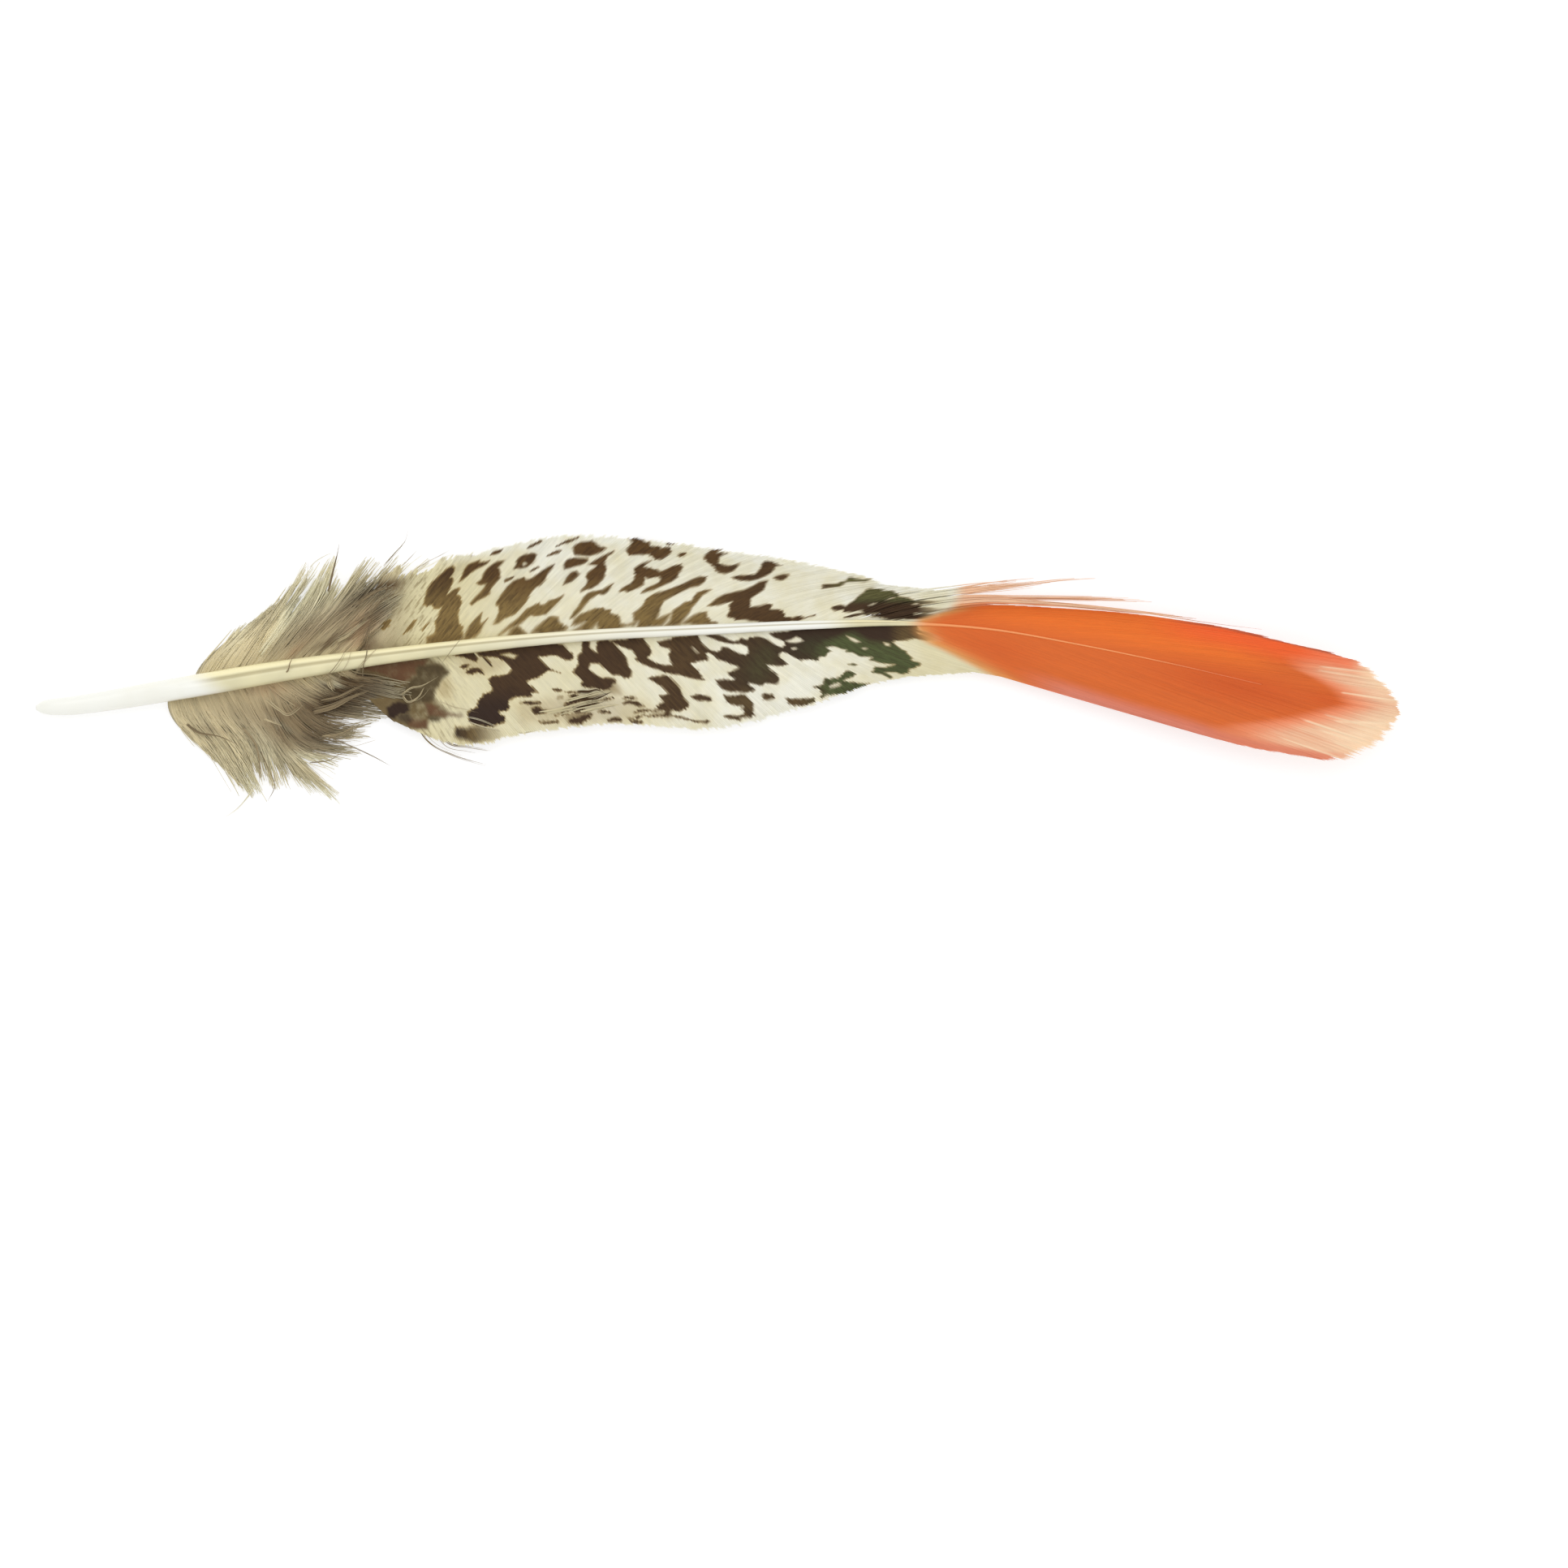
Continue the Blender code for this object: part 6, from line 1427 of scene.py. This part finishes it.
class FEATHER_OT_down(bpy.types.Operator):
    """Build the down on both sides of the shaft, and its single strands"""
    bl_idname = "feather.down"
    bl_label = "Down"

    def execute(self, context):
        """Strands gathered into locks, and fine bundles along the listed lines."""
        own = context.scene.feather_down
        material = down_material("down_strands", own)
        most, few = (own.wide * 5 // 4, own.strands * 5 // 4), (own.wide // 3, own.strands // 3)
        pieces = [make_down(*bed, own.radius, own.clump) for bed in (
            ("down_upper", UPPER_DOWN, UPPER_PULLS, UPPER_NOTCHES, True, 21, 18, (own.wide, own.strands)),
            ("down_upper_inner", INNER_DOWN, INNER_PULLS, [], True, 23, 16, few),
            ("down_lower_inner", SIDE_DOWN, SIDE_PULLS, SIDE_NOTCHES, False, 24, 16, few),
            ("down_lower", LOWER_DOWN, LOWER_PULLS, LOWER_NOTCHES, False, 22, 18, most))]
        rng = np.random.default_rng(32)
        path, half, number = bundle(DOWN_LINES, LINE_STATIONS, rng)
        points, loops, sizes, places = strips(path, half, 0.7 * half, 0.0, 3)
        zero = 0 * path[..., 0]
        tones = np.array([LINE_TONES[line[0]] for line in DOWN_LINES])[number]
        masks = {key: on_corners(tones[:, k:k + 1] + zero, 3) for k, key in enumerate(LINE_KEYS)}
        masks["rust"] = on_corners(zero, 3)
        masks["tone"] = on_corners(rng.uniform(0, 1, (len(path), 1)) + zero, 3)
        masks["across"] = on_corners(np.arange(len(path))[:, None] + zero, 3)
        masks["along"] = on_corners(np.linspace(0, 8, LINE_STATIONS)[None, :] + zero, 3)
        pieces.append(put_mesh("down_lines", points, loops, sizes, places, masks, smooth=True))
        for piece in pieces:
            wear(piece, material)
        return {"FINISHED"}


class FEATHER_OT_loose_barbs(bpy.types.Operator):
    """Build the loose barbs at the pinch and along the lower vane"""
    bl_idname = "feather.loose_barbs"
    bl_label = "Loose barbs"

    def execute(self, context):
        """Bundles of fine strands along the listed lines."""
        rng = np.random.default_rng(31)
        look = colours_of(context.scene.feather_vane, context.scene.feather_orange)
        path, half, number = bundle(LOOSE_BARBS, BARB_STATIONS, rng)
        path[..., 2] -= 0.3 * ease(30, 23, path[..., 0]) * ease(5, 6, path[..., 1])
        points, loops, sizes, places = strips(path, half, 0.5 * half, 0.0)
        x, y = path[..., 0], path[..., 1]
        masks = vane_masks(x, y, True, 0 * x)
        for k, key in enumerate(BARB_KEYS):
            wanted = np.array([np.nan if BARB_TONES[line[0]][k] is None else BARB_TONES[line[0]][k]
                               for line in LOOSE_BARBS])[number][:, None]
            masks[key] = np.where(np.isnan(wanted), masks[key], wanted)
        masks = {key: on_corners(values + 0 * x) for key, values in masks.items()}
        masks["tone"] = on_corners(rng.uniform(0, 1, (len(path), 1)) + 0 * x)
        # Painted shade between barbs: 1 on each barb's top corner and 0 on its other corners.
        masks["ridge"] = np.tile([0.0, 1.0, 0.0, 0.0], x.size)
        masks["across"] = on_corners(np.arange(len(path))[:, None] + 0 * x)
        masks["along"] = on_corners(x - x.min())
        piece = put_mesh("loose_barbs", points, loops, sizes, places, masks, smooth=True)
        wear(piece, vane_material("loose_barbs", look, context.scene.feather_down))
        return {"FINISHED"}


class FEATHER_OT_stage(bpy.types.Operator):
    """Set the floor, the lights and the camera"""
    bl_idname = "feather.stage"
    bl_label = "Floor, lights and camera"

    def execute(self, context):
        """Pale floor, white surroundings, one large light behind and the camera straight above."""
        own = context.scene.feather_stage
        scene = context.scene
        scene.view_settings.view_transform = "Standard"

        mesh = bpy.data.meshes.new("floor")
        mesh.from_pydata([(-3, -3, 0), (3, -3, 0), (3, 3, 0), (-3, 3, 0)], [], [(0, 1, 2, 3)])
        floor = bpy.data.objects.new("floor", mesh)
        scene.collection.objects.link(floor)
        material, tree, shader = new_material("floor")
        plug(tree, own.floor, shader.inputs["Base Color"])
        put(shader, Roughness=0.9, Specular_IOR_Level=0.1, Emission_Color=WHITE, Emission_Strength=own.glow)
        mesh.materials.append(material)

        world = bpy.data.worlds.new("surroundings")
        world.use_nodes = True
        put(world.node_tree.nodes["Background"], Color=WHITE, Strength=own.sky)
        scene.world = world

        light = bpy.data.lights.new("key", "AREA")
        light.shape = "RECTANGLE"
        light.size, light.size_y = LIGHT_SIZE
        light.energy = own.key_power
        key = bpy.data.objects.new("key", light)
        key.location = LIGHT_PLACE
        key.rotation_euler = (np.radians(-25), 0, 0)
        scene.collection.objects.link(key)

        camera = bpy.data.cameras.new("camera")
        camera.lens = 100.0
        camera.sensor_width = 36.0
        camera.clip_start = 0.01
        seat = bpy.data.objects.new("camera", camera)
        seat.location = (CAMERA_OVER[0] * MM, CAMERA_OVER[1] * MM, own.camera_height)
        scene.collection.objects.link(seat)
        scene.camera = seat
        return {"FINISHED"}


OPERATORS = (FEATHER_OT_stage, FEATHER_OT_quill, FEATHER_OT_mottled_vanes, FEATHER_OT_orange_vanes,
             FEATHER_OT_down, FEATHER_OT_loose_barbs)
SETTINGS = {"feather_stage": StageSettings, "feather_quill": QuillSettings, "feather_vane": VaneSettings,
            "feather_orange": OrangeSettings, "feather_down": DownSettings}


class FEATHER_PT_panel(bpy.types.Panel):
    """The feather's pieces and their settings"""
    bl_label = "Feather"
    bl_space_type = "VIEW_3D"
    bl_region_type = "UI"
    bl_category = "Feather"

    def draw(self, context):
        """One button for each operator, with the settings below."""
        for operator in OPERATORS:
            self.layout.operator(operator.bl_idname)
        for key, group in SETTINGS.items():
            box = self.layout.box()
            for name in group.__annotations__:
                box.prop(getattr(context.scene, key), name)


def register():
    """Make the settings, operators and panel known."""
    for cls in (*SETTINGS.values(), *OPERATORS, FEATHER_PT_panel):
        bpy.utils.register_class(cls)
    for key, group in SETTINGS.items():
        setattr(bpy.types.Scene, key, bpy.props.PointerProperty(type=group))


def unregister():
    """Remove them again."""
    for key in SETTINGS:
        delattr(bpy.types.Scene, key)
    for cls in (FEATHER_PT_panel, *reversed(OPERATORS), *reversed(tuple(SETTINGS.values()))):
        bpy.utils.unregister_class(cls)


def main():
    """Build every piece in order."""
    register()
    bpy.ops.feather.stage()
    bpy.ops.feather.quill()
    bpy.ops.feather.mottled_vanes()
    bpy.ops.feather.orange_vanes()
    bpy.ops.feather.down()
    bpy.ops.feather.loose_barbs()


if __name__ == "__main__":
    main()
